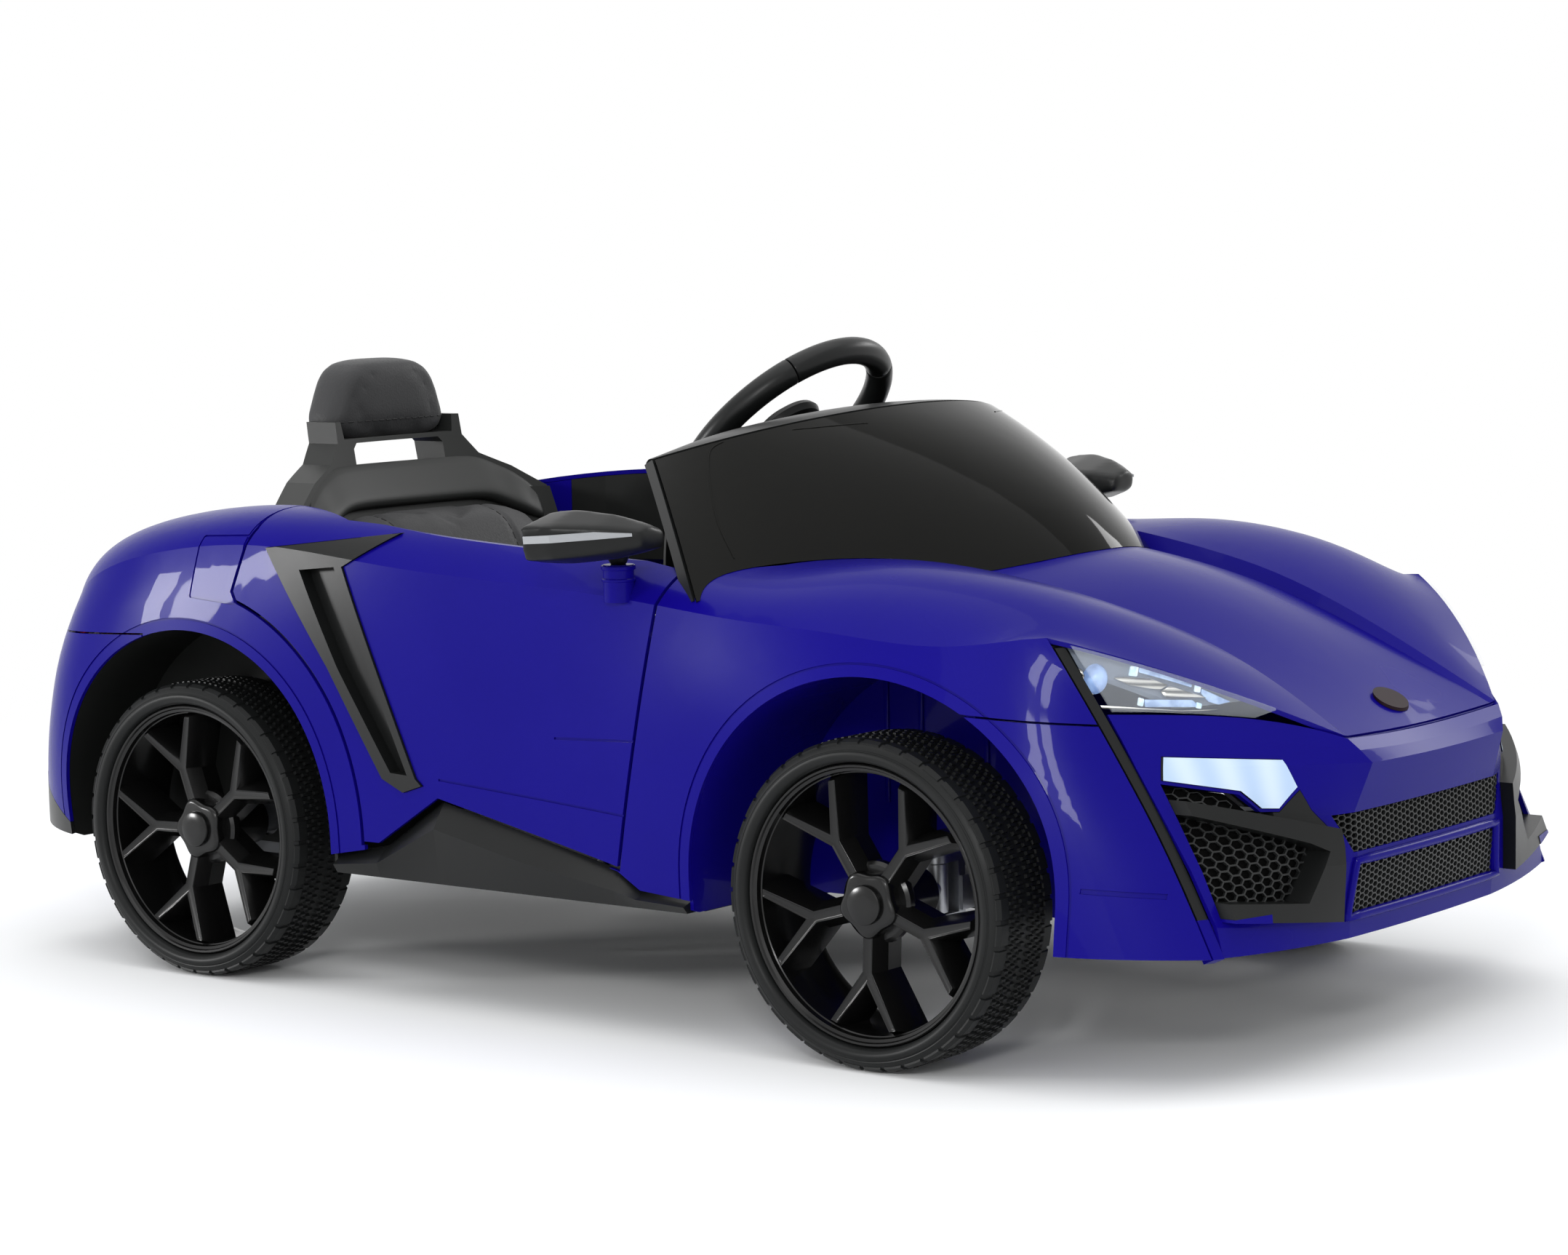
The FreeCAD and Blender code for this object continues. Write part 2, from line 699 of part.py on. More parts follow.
# Headlamps: a clear triangle between hood edge, corner strip and fascia, over a bright bucket.
HOOD_EDGE_SHARES = (0.085, 0.78)
LAMP_FOOT_SHARES = [(1.582, 0.783, 0.717), (1.708, 0.638, 0.708), (1.8, 0.519, 0.6905)]


def hood_edge_pole(first, second):
    """A pole of the part of the hood's front edge between two shares of its length."""
    corner, middle, end = skin[-1][4:7]
    return (
        corner * ((1 - first) * (1 - second))
        + middle * (first * (1 - second) + second * (1 - first))
        + end * (first * second)
    )


def headlamp_grid():
    start, stop = HOOD_EDGE_SHARES
    edge = skin[-1][6] - skin[-1][4]
    off_edge = Vector(edge.y, -edge.x, 0).normalize() * num("lens_wall + seat_gap / 2")
    off_edge -= Vector(0, 0, seam / 2)
    head = [hood_edge_pole(*pair_of) + off_edge for pair_of in ((start, start), (start, stop), (stop, stop))]
    foot = [spot(a, -y, z) for a, y, z in LAMP_FOOT_SHARES]
    return [head, [(h + f) / 2 for h, f in zip(head, foot)], foot]


headlamp = headlamp_grid()
lens = biggest(plain_sheet(headlamp, 0, num("lens_wall")).cut(skin_room))
bucket = plain_sheet(headlamp, num("lens_wall + lamp_depth"), num("lens_wall + lamp_depth + lining_wall"))
piece("headlamp_lenses", *pair(lens))
piece("headlamp_buckets", *pair(biggest(bucket.common(under_skin))))

# Windshield with its side windows, resting on the fenders and hood, and the cap over the dashboard.
WINDSHIELD_SHARES = [
    (
        (0.611, 0.677, 1.16), (0.673, 0.61, 1.197), (0.727, 0.433, 1.231), (0.758, 0.217, 1.251),
        (0.766, 0, 1.257)
    ),
    (
        (0.667, 0.78, 1.091), (0.732, 0.67, 1.117), (0.794, 0.483, 1.151), (0.85, 0.23, 1.174),
        (0.868, 0, 1.18)
    ),
    (
        (0.72, 0.873, 1.006), (0.786, 0.717, 1.023), (0.853, 0.523, 1.046), (0.938, 0.24, 1.066),
        (0.968, 0, 1.074)
    ),
    ((0.772, 0.957, 0.9), (0.841, 0.76, 0.903), (0.915, 0.543, 0.909), (1.0, 0.24, 0.931), (1.06, 0, 0.945)),
]
CAP_SHARES = [
    (
        (0.6, 0.628, 1.108), (0.622, 0.535, 1.14), (0.648, 0.395, 1.168), (0.664, 0.2, 1.186),
        (0.669, 0, 1.192)
    ),
    (
        (0.588, 0.652, 1.15), (0.611, 0.56, 1.19), (0.642, 0.407, 1.22), (0.659, 0.207, 1.238),
        (0.664, 0, 1.244)
    ),
    (
        (0.596, 0.664, 1.163), (0.638, 0.585, 1.203), (0.682, 0.42, 1.236), (0.705, 0.212, 1.256),
        (0.711, 0, 1.262)
    ),
    (
        (0.6065, 0.676, 1.162), (0.6685, 0.608, 1.199), (0.722, 0.432, 1.233), (0.753, 0.2165, 1.253),
        (0.761, 0, 1.259)
    ),
]
CAP_ROWS = (0, 1, 3)
POST_SHARES = [
    ((0.592, 0.668, 1.148), (0.6065, 0.676, 1.16)), ((0.648, 0.772, 1.079), (0.662, 0.78, 1.091)),
    ((0.701, 0.865, 0.994), (0.715, 0.873, 1.006)), ((0.753, 0.949, 0.888), (0.767, 0.957, 0.9)),
]
glass_wall = num("glass_wall")
windshield_grid = sheet_grid(WINDSHIELD_SHARES)
windshield = plain_sheet(windshield_grid, 0, glass_wall)
windshield_room = plain_sheet(windshield_grid, -seat_gap, glass_wall + seat_gap)
lifted_skin = skin_solid.translated(Vector(0, 0, seat_gap))
piece("windshield", biggest(windshield.cut(lifted_skin)))
cap_grid = sheet_grid(CAP_SHARES)
under_cap = plain_sheet(cap_grid, num("-cut_overrun"), glass_wall + seat_gap, None, CAP_ROWS)
side_post = plain_sheet(one_side_grid(POST_SHARES), 0, num("2 * lining_wall"))
side_post = biggest(side_post.cut([lifted_skin, under_cap, windshield_room]))
piece("windshield_cap", plain_sheet(cap_grid, 0, glass_wall, None, CAP_ROWS), *pair(side_post))

DASHBOARD_SHARES = [
    ((0.618, 0.6, 1.2), (0.65, 0.42, 1.24), (0.668, 0.217, 1.26), (0.673, 0, 1.27)),
    ((0.606, 0.61, 1.04), (0.634, 0.43, 1.06), (0.65, 0.222, 1.07), (0.654, 0, 1.07)),
    ((0.62, 0.72, 0.943), (0.64, 0.5, 0.943), (0.652, 0.25, 0.943), (0.655, 0, 0.943)),
    ((0.69, 0.8, 0.714), (0.72, 0.55, 0.714), (0.73, 0.267, 0.714), (0.732, 0, 0.714)),
]

# Rear fascia with its lamp openings, and the black valance under it; rows run upwards.
REAR_SHARES = [
    ((-0.95, 0.8235, 0.286), (-0.978, 0.617, 0.28), (-0.987, 0.317, 0.28), (-0.987, 0, 0.28)),
    ((-0.922, 0.85, 0.429), (-0.974, 0.617, 0.429), (-0.996, 0.317, 0.429), (-1, 0, 0.429)),
    ((-0.888, 0.85, 0.571), (-0.961, 0.617, 0.577), (-0.991, 0.317, 0.577), (-1, 0, 0.577)),
    ((-0.853, 0.823, 0.7), (-0.943, 0.617, 0.729), (-0.983, 0.317, 0.737), (-0.996, 0, 0.74)),
    ((-0.818, 0.7745, 0.78), (-0.9, 0.617, 0.849), (-0.965, 0.317, 0.869), (-0.983, 0, 0.874)),
]
TAIL_LAMP_SHARES = [(-0.79, 0.72), (-0.72, 0.77), (-0.35, 0.745), (-0.4, 0.655), (-0.8, 0.63)]
VALANCE_SHARES = [(-1.1, 0.4), (1.1, 0.4), (1.1, 0.2), (-1.1, 0.2)]
VALANCE_SIDE_SHARES = [(-0.6, 0.29), (-0.93, 0.4), (-1.1, 0.4), (-1.1, 0.15), (-0.6, 0.15)]
rear_sheet = sheet_grid(REAR_SHARES)
tail = -nose


def rear_layer(near, deep):
    return plain_sheet(rear_sheet, near, deep)


def rear_cut(shares, gap=0.0):
    points = front_points(shares)
    if gap:
        points = grown(points, gap)
    return front_prism(points, tail, num(along(-0.5)))


rear_panel = rear_layer(0, panel_wall)
valance = rear_layer(num("-lamp_stand"), num("frame_depth")).common(rear_cut(VALANCE_SHARES))
rear_panel = rear_panel.cut([rear_cut(VALANCE_SHARES, seat_gap)] + pair(rear_cut(TAIL_LAMP_SHARES, seat_gap)))
tail_lamp = rear_layer(num("-lamp_stand"), num("lamp_depth")).common(rear_cut(TAIL_LAMP_SHARES))
REAR_END_SHARES = [(-0.2, 0.757), (-0.67, 0.743), (-1.1, 0.743), (-1.1, 0.15), (-0.2, 0.15)]
rear_end_outline = flat(REAR_END_SHARES)
rear_ends = rear_part.common(side_prism(rear_end_outline, -far, inside))
valance_side = side_prism(flat(VALANCE_SIDE_SHARES), -far, inside)
valance_end = biggest(rear_ends.common(valance_side))
rear_end = biggest(
    rear_ends.cut(
        [side_prism(grown(flat(VALANCE_SIDE_SHARES), seat_gap), -far, inside), arch_groove("rear")]
    )
)
piece("rear_bumper", rear_panel, *pair(rear_end))
piece("rear_valance", valance, *pair(valance_end))
piece("tail_lamps", *pair(biggest(tail_lamp)))

# Shells of the body: the skin ahead of and behind the doors, without the bumper ends.
end_cuts = pair(side_prism(grown(end_outline, seam), -far, inside))
rear_end_cuts = pair(side_prism(grown(rear_end_outline, seam), -far, inside))

# Side skirts: stations with the height of the crease and of the top edge.
SKIRT_SHARES = [
    (0.22, 0.287, 0.305), (0.307, 0.303, 0.334), (0.398, 0.39, 0.443), (0.53, 0.34, 0.392),
    (0.663, 0.303, 0.34), (0.695, 0.29, 0.306), (0.77, 0.285, 0.297),
]
SKIRT_TOP_SHARES = [(station, edge) for station, crease, edge in SKIRT_SHARES]
SKIRT_OUTLINE_SHARES = [(0.22, 0.2)] + SKIRT_TOP_SHARES + [(0.77, 0.2)]
SKIRT_BASE_SHARE = 0.271
SKIRT_WIDTH_SHARES = (0.9, 0.99, 1.005, 0.965, 0.9)


def skirt():
    sections = []
    for station, crease, edge in SKIRT_SHARES:
        heights = (SKIRT_BASE_SHARE, SKIRT_BASE_SHARE, crease, edge, edge)
        corners = [spot(station, -y, z) for y, z in zip(SKIRT_WIDTH_SHARES, heights)]
        sections.append(Part.makePolygon(corners + corners[:1]))
    return Part.makeLoft(sections, True, True)


skirt_room = side_prism(grown(flat(SKIRT_OUTLINE_SHARES), seat_gap), -far, far)
front_shell = front_part.cut(end_cuts + [skirt_room])
front_shell = biggest(front_shell.cut(pair(arch_groove("front"))))
rear_shell = rear_part.cut(rear_end_cuts + [skirt_room])
rear_shell = biggest(
    rear_shell.cut(with_mirrored(groove(PATCH_SHARES, "groove_width") + [arch_groove("rear")]))
)
piece("front_body_shell", front_shell)

# Doors: the outer panel with its vent opening, a tray lining, and the black arrow-shaped vent.
VENT_SHARES = [
    (0.128, 0.963), (0.317, 1.003), (0.268, 0.946), (0.252, 0.931), (0.367, 0.491),
    (0.376, 0.477), (0.348, 0.46), (0.317, 0.486), (0.234, 0.714),
]
VENT_RECESS_SHARES = [(0.185, 0.92), (0.24, 0.93), (0.355, 0.497), (0.33, 0.5), (0.25, 0.714)]
vent_outline = flat(VENT_SHARES)
vent_hole = side_prism(grown(vent_outline, seat_gap), -far, inside)


vent = side_layer(num("-vent_stand"), num("vent_depth")).common(side_prism(vent_outline, -far, inside))
recess = side_layer(num("-vent_depth"), num("vent_depth - lining_wall"))
vent = biggest(vent.cut(recess.common(side_prism(flat(VENT_RECESS_SHARES), -far, inside))))
vent_room = side_layer(num("-vent_stand"), num("vent_depth + seat_gap")).common(vent_hole)
door_creases = groove(DOOR_CREASE_SHARES, "groove_width") + groove(WING_CREASE_SHARES, "groove_width")
door_panel = biggest(door_right.cut([vent_hole] + door_creases))

# Fitted pieces made from plain solids and sketches, with their sizes bound to the sheet.


def place(node, at, axis=None):
    """Sets where a plain solid stands; its sizes and place stay bound to the sheet."""
    if axis is not None:
        node.Placement = Placement(Vector(0, 0, 0), Rotation(Vector(0, 0, 1), axis))
    for letter, text in zip("xyz", at):
        node.setExpression(f"Placement.Base.{letter}", bound(text))
    return node


def box(name, size, corner):
    node = doc.addObject("Part::Box", name)
    for letter, text in zip(("Length", "Width", "Height"), size):
        node.setExpression(letter, bound(text))
    return place(node, corner)


def rod(name, radius, length, start, axis=Vector(0, 0, 1)):
    node = doc.addObject("Part::Cylinder", name)
    node.setExpression("Radius", bound(radius))
    node.setExpression("Height", bound(length))
    return place(node, start, axis)


def joined(name, parts):
    node = doc.addObject("Part::MultiFuse", name)
    node.Shapes = parts
    node.Refine = True
    return node


def without(name, base, tool):
    node = doc.addObject("Part::Cut", name)
    node.Base = base
    node.Tool = tool
    return node


def grouped(name, parts):
    node = doc.addObject("Part::Compound", name)
    node.Links = parts
    return node


def mirror_image(name, source):
    node = doc.addObject("Part::Mirroring", name)
    node.Source = source
    node.Normal = Vector(0, 1, 0)
    return node


def keep(label, node):
    """Takes a finished object as a sub-part under its own name."""
    node.Label = label
    pieces.append(node)
    return node


def outline_sketch(body, name, role, points):
    """A closed outline of straight lines, each corner bound to the sheet."""
    sketch = body.newObject("Sketcher::SketchObject", name)
    plane = [f for f in body.Origin.OriginFeatures if f.Role == role][0]
    sketch.AttachmentSupport = (plane, [""])
    sketch.MapMode = "FlatFace"
    corners = [Vector(num(a), num(b), 0) for a, b in points]
    count = len(corners)
    for i in range(count):
        sketch.addGeometry(Part.LineSegment(corners[i], corners[(i + 1) % count]), False)
    for i in range(count):
        sketch.addConstraint(Sketcher.Constraint("Coincident", i, 2, (i + 1) % count, 1))
    for i, texts in enumerate(points):
        for kind, text in zip(("DistanceX", "DistanceY"), texts):
            index = sketch.addConstraint(Sketcher.Constraint(kind, i, 1, num(text)))
            sketch.setExpression(f"Constraints[{index}]", bound(text))
    return sketch


def turned(body, name, points):
    """A solid of revolution about the body's Y axis from radius and width points."""
    sketch = outline_sketch(body, name + "_profile", "XY_Plane", points)
    feature = body.newObject("PartDesign::Revolution", name)
    feature.Profile = sketch
    feature.ReferenceAxis = (sketch, ["V_Axis"])
    feature.Angle = 360
    return feature


def new_body(name, at):
    body = doc.addObject("PartDesign::Body", name)
    return place(body, at)


def polar(radius, degrees):
    """A point of a wheel's face from a named radius and an angle."""
    angle = math.radians(degrees)
    return (f"{round(math.cos(angle), 5)} * ({radius})", f"{round(math.sin(angle), 5)} * ({radius})")


def window_pattern(body, name, points):
    """A window cut through the wheel's face and repeated round it."""
    sketch = outline_sketch(body, name + "_outline", "XZ_Plane", points)
    pocket = body.newObject("PartDesign::Pocket", name)
    pocket.Profile = sketch
    pocket.Type = "ThroughAll"
    pocket.Midplane = True
    doc.recompute()
    repeat = body.newObject("PartDesign::PolarPattern", name + "_repeat")
    repeat.Originals = [pocket]
    repeat.Axis = (sketch, ["N_Axis"])
    repeat.Angle = 360
    repeat.Occurrences = SPOKES
    body.Tip = repeat
    doc.recompute()


SPOKES = 5
RIM_ANGLE = 13
SPOKE_TURN = 130
HALF_STEP = 180 / SPOKES


def tyre(label, at, out):
    """Rubber-like tread ring; out is -1 on the car's right and 1 on its left."""
    body = new_body(label, at)
    half = f"{out} * tyre_width / 2"
    inner = f"{-out} * tyre_width / 2"
    turned(body, label + "_ring", [
        ("rim_radius + seat_gap", f"{half} - {out} * bead_step"),
        ("rim_radius + sidewall_step", half),
        ("tyre_radius - shoulder_step", half),
        ("tyre_radius", f"{half} - {out} * shoulder_step"),
        ("tyre_radius", f"{inner} + {out} * shoulder_step"),
        ("tyre_radius - shoulder_step", inner),
        ("rim_radius + sidewall_step", inner),
        ("rim_radius + seat_gap", f"{inner} + {out} * bead_step"),
    ])
    return keep(label, body)


def rim(label, at, out):
    """Wheel centre: hub, forked spokes and the barrel that carries the tyre."""
    body = new_body(label + "_centre", at)
    lip = f"{out} * (tyre_width / 2 - bead_step)"
    turned(body, label + "_blank", [
        ("axle_radius + running_gap", f"{-out} * hub_back"),
        ("hub_radius", f"{-out} * hub_back"),
        ("hub_radius", f"{out} * web_back"),
        ("rim_radius - rim_wall", f"{out} * web_back"),
        ("rim_radius - rim_wall", f"{-out} * (tyre_width / 2 - bead_step)"),
        ("rim_radius", f"{-out} * (tyre_width / 2 - bead_step)"),
        ("rim_radius", lip),
        ("rim_radius - rim_wall", lip),
        ("rim_radius - rim_wall", f"{out} * web_front"),
        ("hub_radius", f"{out} * web_front"),
        ("hub_radius", f"{out} * hub_front"),
        ("axle_radius + running_gap", f"{out} * hub_front"),
    ])
    doc.recompute()
    middle = SPOKE_TURN + HALF_STEP
    low = "hub_radius + rim_wall"
    high = "rim_radius - rim_wall - seat_gap"
    sides = [(low, 18.5), ("fork_radius", 26), (high, 15.6), (high, 5)]
    left = [polar(radius, middle - angle) for radius, angle in sides]
    right = [polar(radius, middle + angle) for radius, angle in reversed(sides)]
    window_pattern(body, label + "_window", left + right)
    fork = [(high, RIM_ANGLE), (high, 4), (high, -4), (high, -RIM_ANGLE)]
    notch = [polar("fork_radius + fork_depth", SPOKE_TURN)]
    window_pattern(body, label + "_fork", notch + [polar(r, SPOKE_TURN + a) for r, a in fork])
    return body


def hub_cap(label, at, out):
    body = new_body(label + "_cap", at)
    face = f"{out} * hub_front"
    turned(body, label + "_dome", [
        ("cap_radius - cap_wall", face),
        ("cap_radius", face),
        ("cap_radius", f"{face} + {out} * (cap_height - cap_wall)"),
        ("cap_radius - cap_wall", f"{face} + {out} * cap_height"),
        (0, f"{face} + {out} * cap_height"),
        (0, f"{face} + {out} * (cap_height - cap_wall)"),
        ("cap_radius - cap_wall", f"{face} + {out} * (cap_height - cap_wall)"),
    ])
    return body


wheel_y = "tyre_outer_face - tyre_width / 2"
for side, out in (("right", -1), ("left", 1)):
    for row in ("front", "rear"):
        at = (f"{row}_axle_x", f"{out} * ({wheel_y})", "tyre_radius")
        tyre(f"tyre_{row}_{side}", at, out)
        label = f"wheel_{row}_{side}"
        keep(label, grouped(label, [rim(label, at, out), hub_cap(label, at, out)]))

# Running gear: rear axle with its two gearboxes, and the front beam with knuckles and tie rod.
ACROSS_AXIS = Vector(0, -1, 0)
hub_inner = f"{wheel_y} - hub_back"
hub_outer = f"{wheel_y} + hub_front"
axle_end = f"{hub_outer} + nut_gap + nut_height"


def box_at(name, x_range, y_range, z_range):
    """A box between two places along, across and up."""
    size = [f"({b}) - ({a})" for a, b in (x_range, y_range, z_range)]
    return box(name, size, [a for a, b in (x_range, y_range, z_range)])


def around(centre, half):
    return (f"{centre} - ({half})", f"{centre} + {half}")


def outward(name, radius, x, start, end, z):
    """A round bar on the car's right from one distance off the middle to another."""
    return rod(name, radius, f"({end}) - ({start})", (x, f"-({start})", z), ACROSS_AXIS)


axle_bar = rod(
    "axle_bar", "axle_radius", f"2 * ({axle_end})", ("rear_axle_x", axle_end, "tyre_radius"), ACROSS_AXIS
)
axle_nut = outward("axle_nut", "nut_radius", "rear_axle_x", f"{hub_outer} + nut_gap", axle_end, "tyre_radius")
keep("rear_axle", joined("rear_axle", [axle_bar, axle_nut, mirror_image("axle_nut_left", axle_nut)]))

gear_x = around("rear_axle_x", "gearbox_half")
gear_inside = around("rear_axle_x", "(gearbox_half - gearbox_wall)")
gear_z = around("tyre_radius", "gearbox_half")
gear_z_inside = around("tyre_radius", "(gearbox_half - gearbox_wall)")
case = box_at("gear_case", gear_x, ("-gearbox_outer", "-gearbox_inner"), gear_z)
foot = box_at(
    "gear_foot",
    gear_x,
    ("-gearbox_inner", "-(gearbox_inner - gearbox_foot)"),
    ("floor_top", "floor_top + gearbox_wall"),
)
case_room = box_at(
    "gear_room",
    gear_inside,
    ("-(gearbox_outer - gearbox_wall)", "-(gearbox_inner + gearbox_wall)"),
    gear_z_inside,
)
boss_hole = outward(
    "boss_hole", "drive_boss + seat_gap", "rear_axle_x", "drive_gear_place", "gearbox_outer + cut_overrun",
    "tyre_radius"
)
axle_hole = outward(
    "axle_hole", "axle_radius + running_gap", "rear_axle_x", "gearbox_inner - cut_overrun",
    "drive_gear_place", "tyre_radius"
)
case_solid = joined("gear_case_solid", [case, foot])
case_cut = without("gear_case_cut", case_solid, joined("gear_voids", [case_room, boss_hole, axle_hole]))
keep("gearbox_housings", grouped("gearbox_housings", [case_cut, mirror_image("gear_case_left", case_cut)]))

motor_x = "rear_axle_x + motor_offset"
motor_z = "tyre_radius + motor_offset"
motor = outward(
    "motor_can", "motor_radius", motor_x, "gearbox_inner - motor_length", "gearbox_inner", motor_z
)
motor_tail = outward(
    "motor_tail", "motor_radius / 3", motor_x, "gearbox_inner - motor_length - motor_cap",
    "gearbox_inner - motor_length", motor_z
)
motor_solid = joined("motor_solid", [motor, motor_tail])
keep("drive_motors", grouped("drive_motors", [motor_solid, mirror_image("motor_left", motor_solid)]))

gear_disc = outward(
    "gear_disc", "drive_gear_radius", "rear_axle_x", "drive_gear_place",
    "drive_gear_place + drive_gear_width", "tyre_radius"
)
gear_boss = outward(
    "gear_boss", "drive_boss", "rear_axle_x", "drive_gear_place", f"{hub_inner} - seat_gap", "tyre_radius"
)
gear_bore = outward(
    "gear_bore", "axle_radius + running_gap", "rear_axle_x", "drive_gear_place - cut_overrun", hub_outer,
    "tyre_radius"
)
drive_gear = without("drive_gear_right", joined("gear_blank", [gear_disc, gear_boss]), gear_bore)
keep("drive_gear_right", drive_gear)
keep("drive_gear_left", mirror_image("drive_gear_left", drive_gear))

# Front knuckle: kingpin, stub axle with nut, and the arm to the tie rod.
knuckle_low = "tyre_radius - knuckle_half"
arm_x = "front_axle_x - steer_arm"
arm_z = f"{knuckle_low} + lug_gap"
pin_top = "tie_height + tie_wall"
knuckle_parts = [
    rod("knuckle_post", "knuckle_radius", "2 * knuckle_half", ("front_axle_x", "-kingpin_y", knuckle_low)),
    rod(
        "knuckle_pin",
        "kingpin_radius",
        "2 * (knuckle_half + lug_gap + lug_wall)",
        ("front_axle_x", "-kingpin_y", f"{knuckle_low} - lug_gap - lug_wall"),
    ),
    outward(
        "stub_collar", "collar_radius", "front_axle_x", "kingpin_y", f"{hub_inner} - seat_gap",
        "tyre_radius"
    ),
    outward("stub_axle", "axle_radius", "front_axle_x", "kingpin_y", axle_end, "tyre_radius"),
    outward("stub_nut", "nut_radius", "front_axle_x", f"{hub_outer} + nut_gap", axle_end, "tyre_radius"),
    box_at(
        "knuckle_arm",
        (arm_x, "front_axle_x"),
        around("-kingpin_y", "arm_width / 2"),
        (arm_z, f"{arm_z} + arm_wall"),
    ),
    rod(
        "arm_boss", "eye_radius - lug_gap", f"tie_height - tie_wall / 2 - seat_gap - ({arm_z})",
        (arm_x, "-kingpin_y", arm_z)
    ),
    rod("arm_pin", "pin_radius", f"{pin_top} - ({arm_z})", (arm_x, "-kingpin_y", arm_z)),
]
knuckle = joined("knuckle_right", knuckle_parts)
keep("knuckle_right", knuckle)
keep("knuckle_left", mirror_image("knuckle_left", knuckle))

# Tie rod: a flat bar with an eye at each end and a slotted plate for the column's crank pin.
tie_z = ("tie_height - tie_wall / 2", "tie_height + tie_wall / 2")
tie_bar = box_at("tie_bar", around(arm_x, "tie_width / 2"), ("-kingpin_y", "kingpin_y"), tie_z)
tie_plate = box_at("tie_plate", around(arm_x, "slot_plate_half"), around("0", "slot_plate_half"), tie_z)
tie_slot = box_at("tie_slot", around(arm_x, "slot_half_length"), around("0", "slot_half_width"), tie_z)
tie_eyes = []
tie_bores = [tie_slot]
for sign, name in (("-", "right"), ("", "left")):
    at = (arm_x, f"{sign}kingpin_y", tie_z[0])
    tie_eyes.append(rod(f"tie_eye_{name}", "eye_radius", "tie_wall", at))
    tie_bores.append(rod(f"tie_bore_{name}", "pin_radius + running_gap", "tie_wall", at))
tie_solid = joined("tie_solid", [tie_bar, tie_plate] + tie_eyes)
keep("tie_rod", without("tie_rod", tie_solid, joined("tie_voids", tie_bores)))

# Steering column, leaning back by the tilt; places on it are counted up from its foot.
TILT = 45
TILT_SIN = round(math.sin(math.radians(TILT)), 5)
TILT_COS = round(math.cos(math.radians(TILT)), 5)
COLUMN_AXIS = Vector(-TILT_SIN, 0, TILT_COS)
CRANK_AXIS = Vector(-TILT_COS, 0, -TILT_SIN)


WHEEL_STATION = 0.5542
DERIVED["column_length"] = (
    f"({arm_x} + {TILT_COS} * steer_arm - ({along(WHEEL_STATION)})) / {TILT_SIN}"
)


def on_column(place_text):
    x = f"{arm_x} + {TILT_COS} * steer_arm - {TILT_SIN} * ({place_text})"
    z = f"tie_height + {TILT_SIN} * steer_arm + {TILT_COS} * ({place_text})"
    return (x, "0", z)


crank_place = f"{TILT_COS} * pin_rise"
column_parts = [
    rod("column_tube", "column_radius", "column_length - hub_bore_end", on_column("0"), COLUMN_AXIS),
    rod(
        "column_crank", "crank_radius", f"steer_arm - {TILT_SIN} * pin_rise", on_column(crank_place),
        CRANK_AXIS
    ),
    rod("crank_pin", "pin_radius", "pin_rise + tie_wall + pin_radius", (arm_x, "0", "tie_height - tie_wall")),
]
keep("steering_column", joined("steering_column", column_parts))

# Front beam with fork ends for the kingpins, and the post with the column's bearing.
beam_x = around("front_axle_x", "beam_width / 2")
end_x = around("front_axle_x", "lug_radius")
lug_low = f"{knuckle_low} - lug_gap - lug_wall"
lug_high = "tyre_radius + knuckle_half + lug_gap"
beam = box_at("beam_bar", beam_x, ("-beam_half_span", "0"), ("floor_top", "floor_top + beam_width"))
beam_end = box_at(
    "beam_end", end_x, ("-(beam_half_span + lug_wall / 3)", "-(beam_half_span - lug_wall)"),
    (lug_low, f"{lug_high} + lug_wall")
)
fork_parts = [beam, beam_end]
fork_bores = []
for name, level in (("low", lug_low), ("high", lug_high)):
    fork_parts.append(
        box_at(f"lug_{name}", end_x, ("-kingpin_y", "-beam_half_span"), (level, f"{level} + lug_wall"))
    )
    fork_parts.append(
        rod(f"lug_round_{name}", "lug_radius", "lug_wall", ("front_axle_x", "-kingpin_y", level))
    )
    fork_bores.append(
        rod(
            f"lug_bore_{name}", "kingpin_radius + running_gap", "lug_wall",
            ("front_axle_x", "-kingpin_y", level)
        )
    )
fork = without("fork_right", joined("fork_solid", fork_parts), joined("fork_voids", fork_bores))
bearing_middle = on_column("bearing_place")
post = box_at(
    "column_post", around(bearing_middle[0], "post_half"), around("0", "post_half"),
    ("floor_top", bearing_middle[2])
)
bearing = rod(
    "column_bearing", "bearing_radius", "bearing_length", on_column("bearing_place - bearing_length / 2"),
    COLUMN_AXIS
)
bearing_bore = rod(
    "bearing_bore",
    "column_radius + running_gap",
    "bearing_length + 2 * cut_overrun",
    on_column("bearing_place - bearing_length / 2 - cut_overrun"),
    COLUMN_AXIS,
)
column_stand = without("column_stand", joined("stand_solid", [post, bearing]), bearing_bore)
beam_whole = joined("beam_whole", [fork, mirror_image("fork_left", fork)])
keep("front_subframe", grouped("front_subframe", [beam_whole, column_stand]))

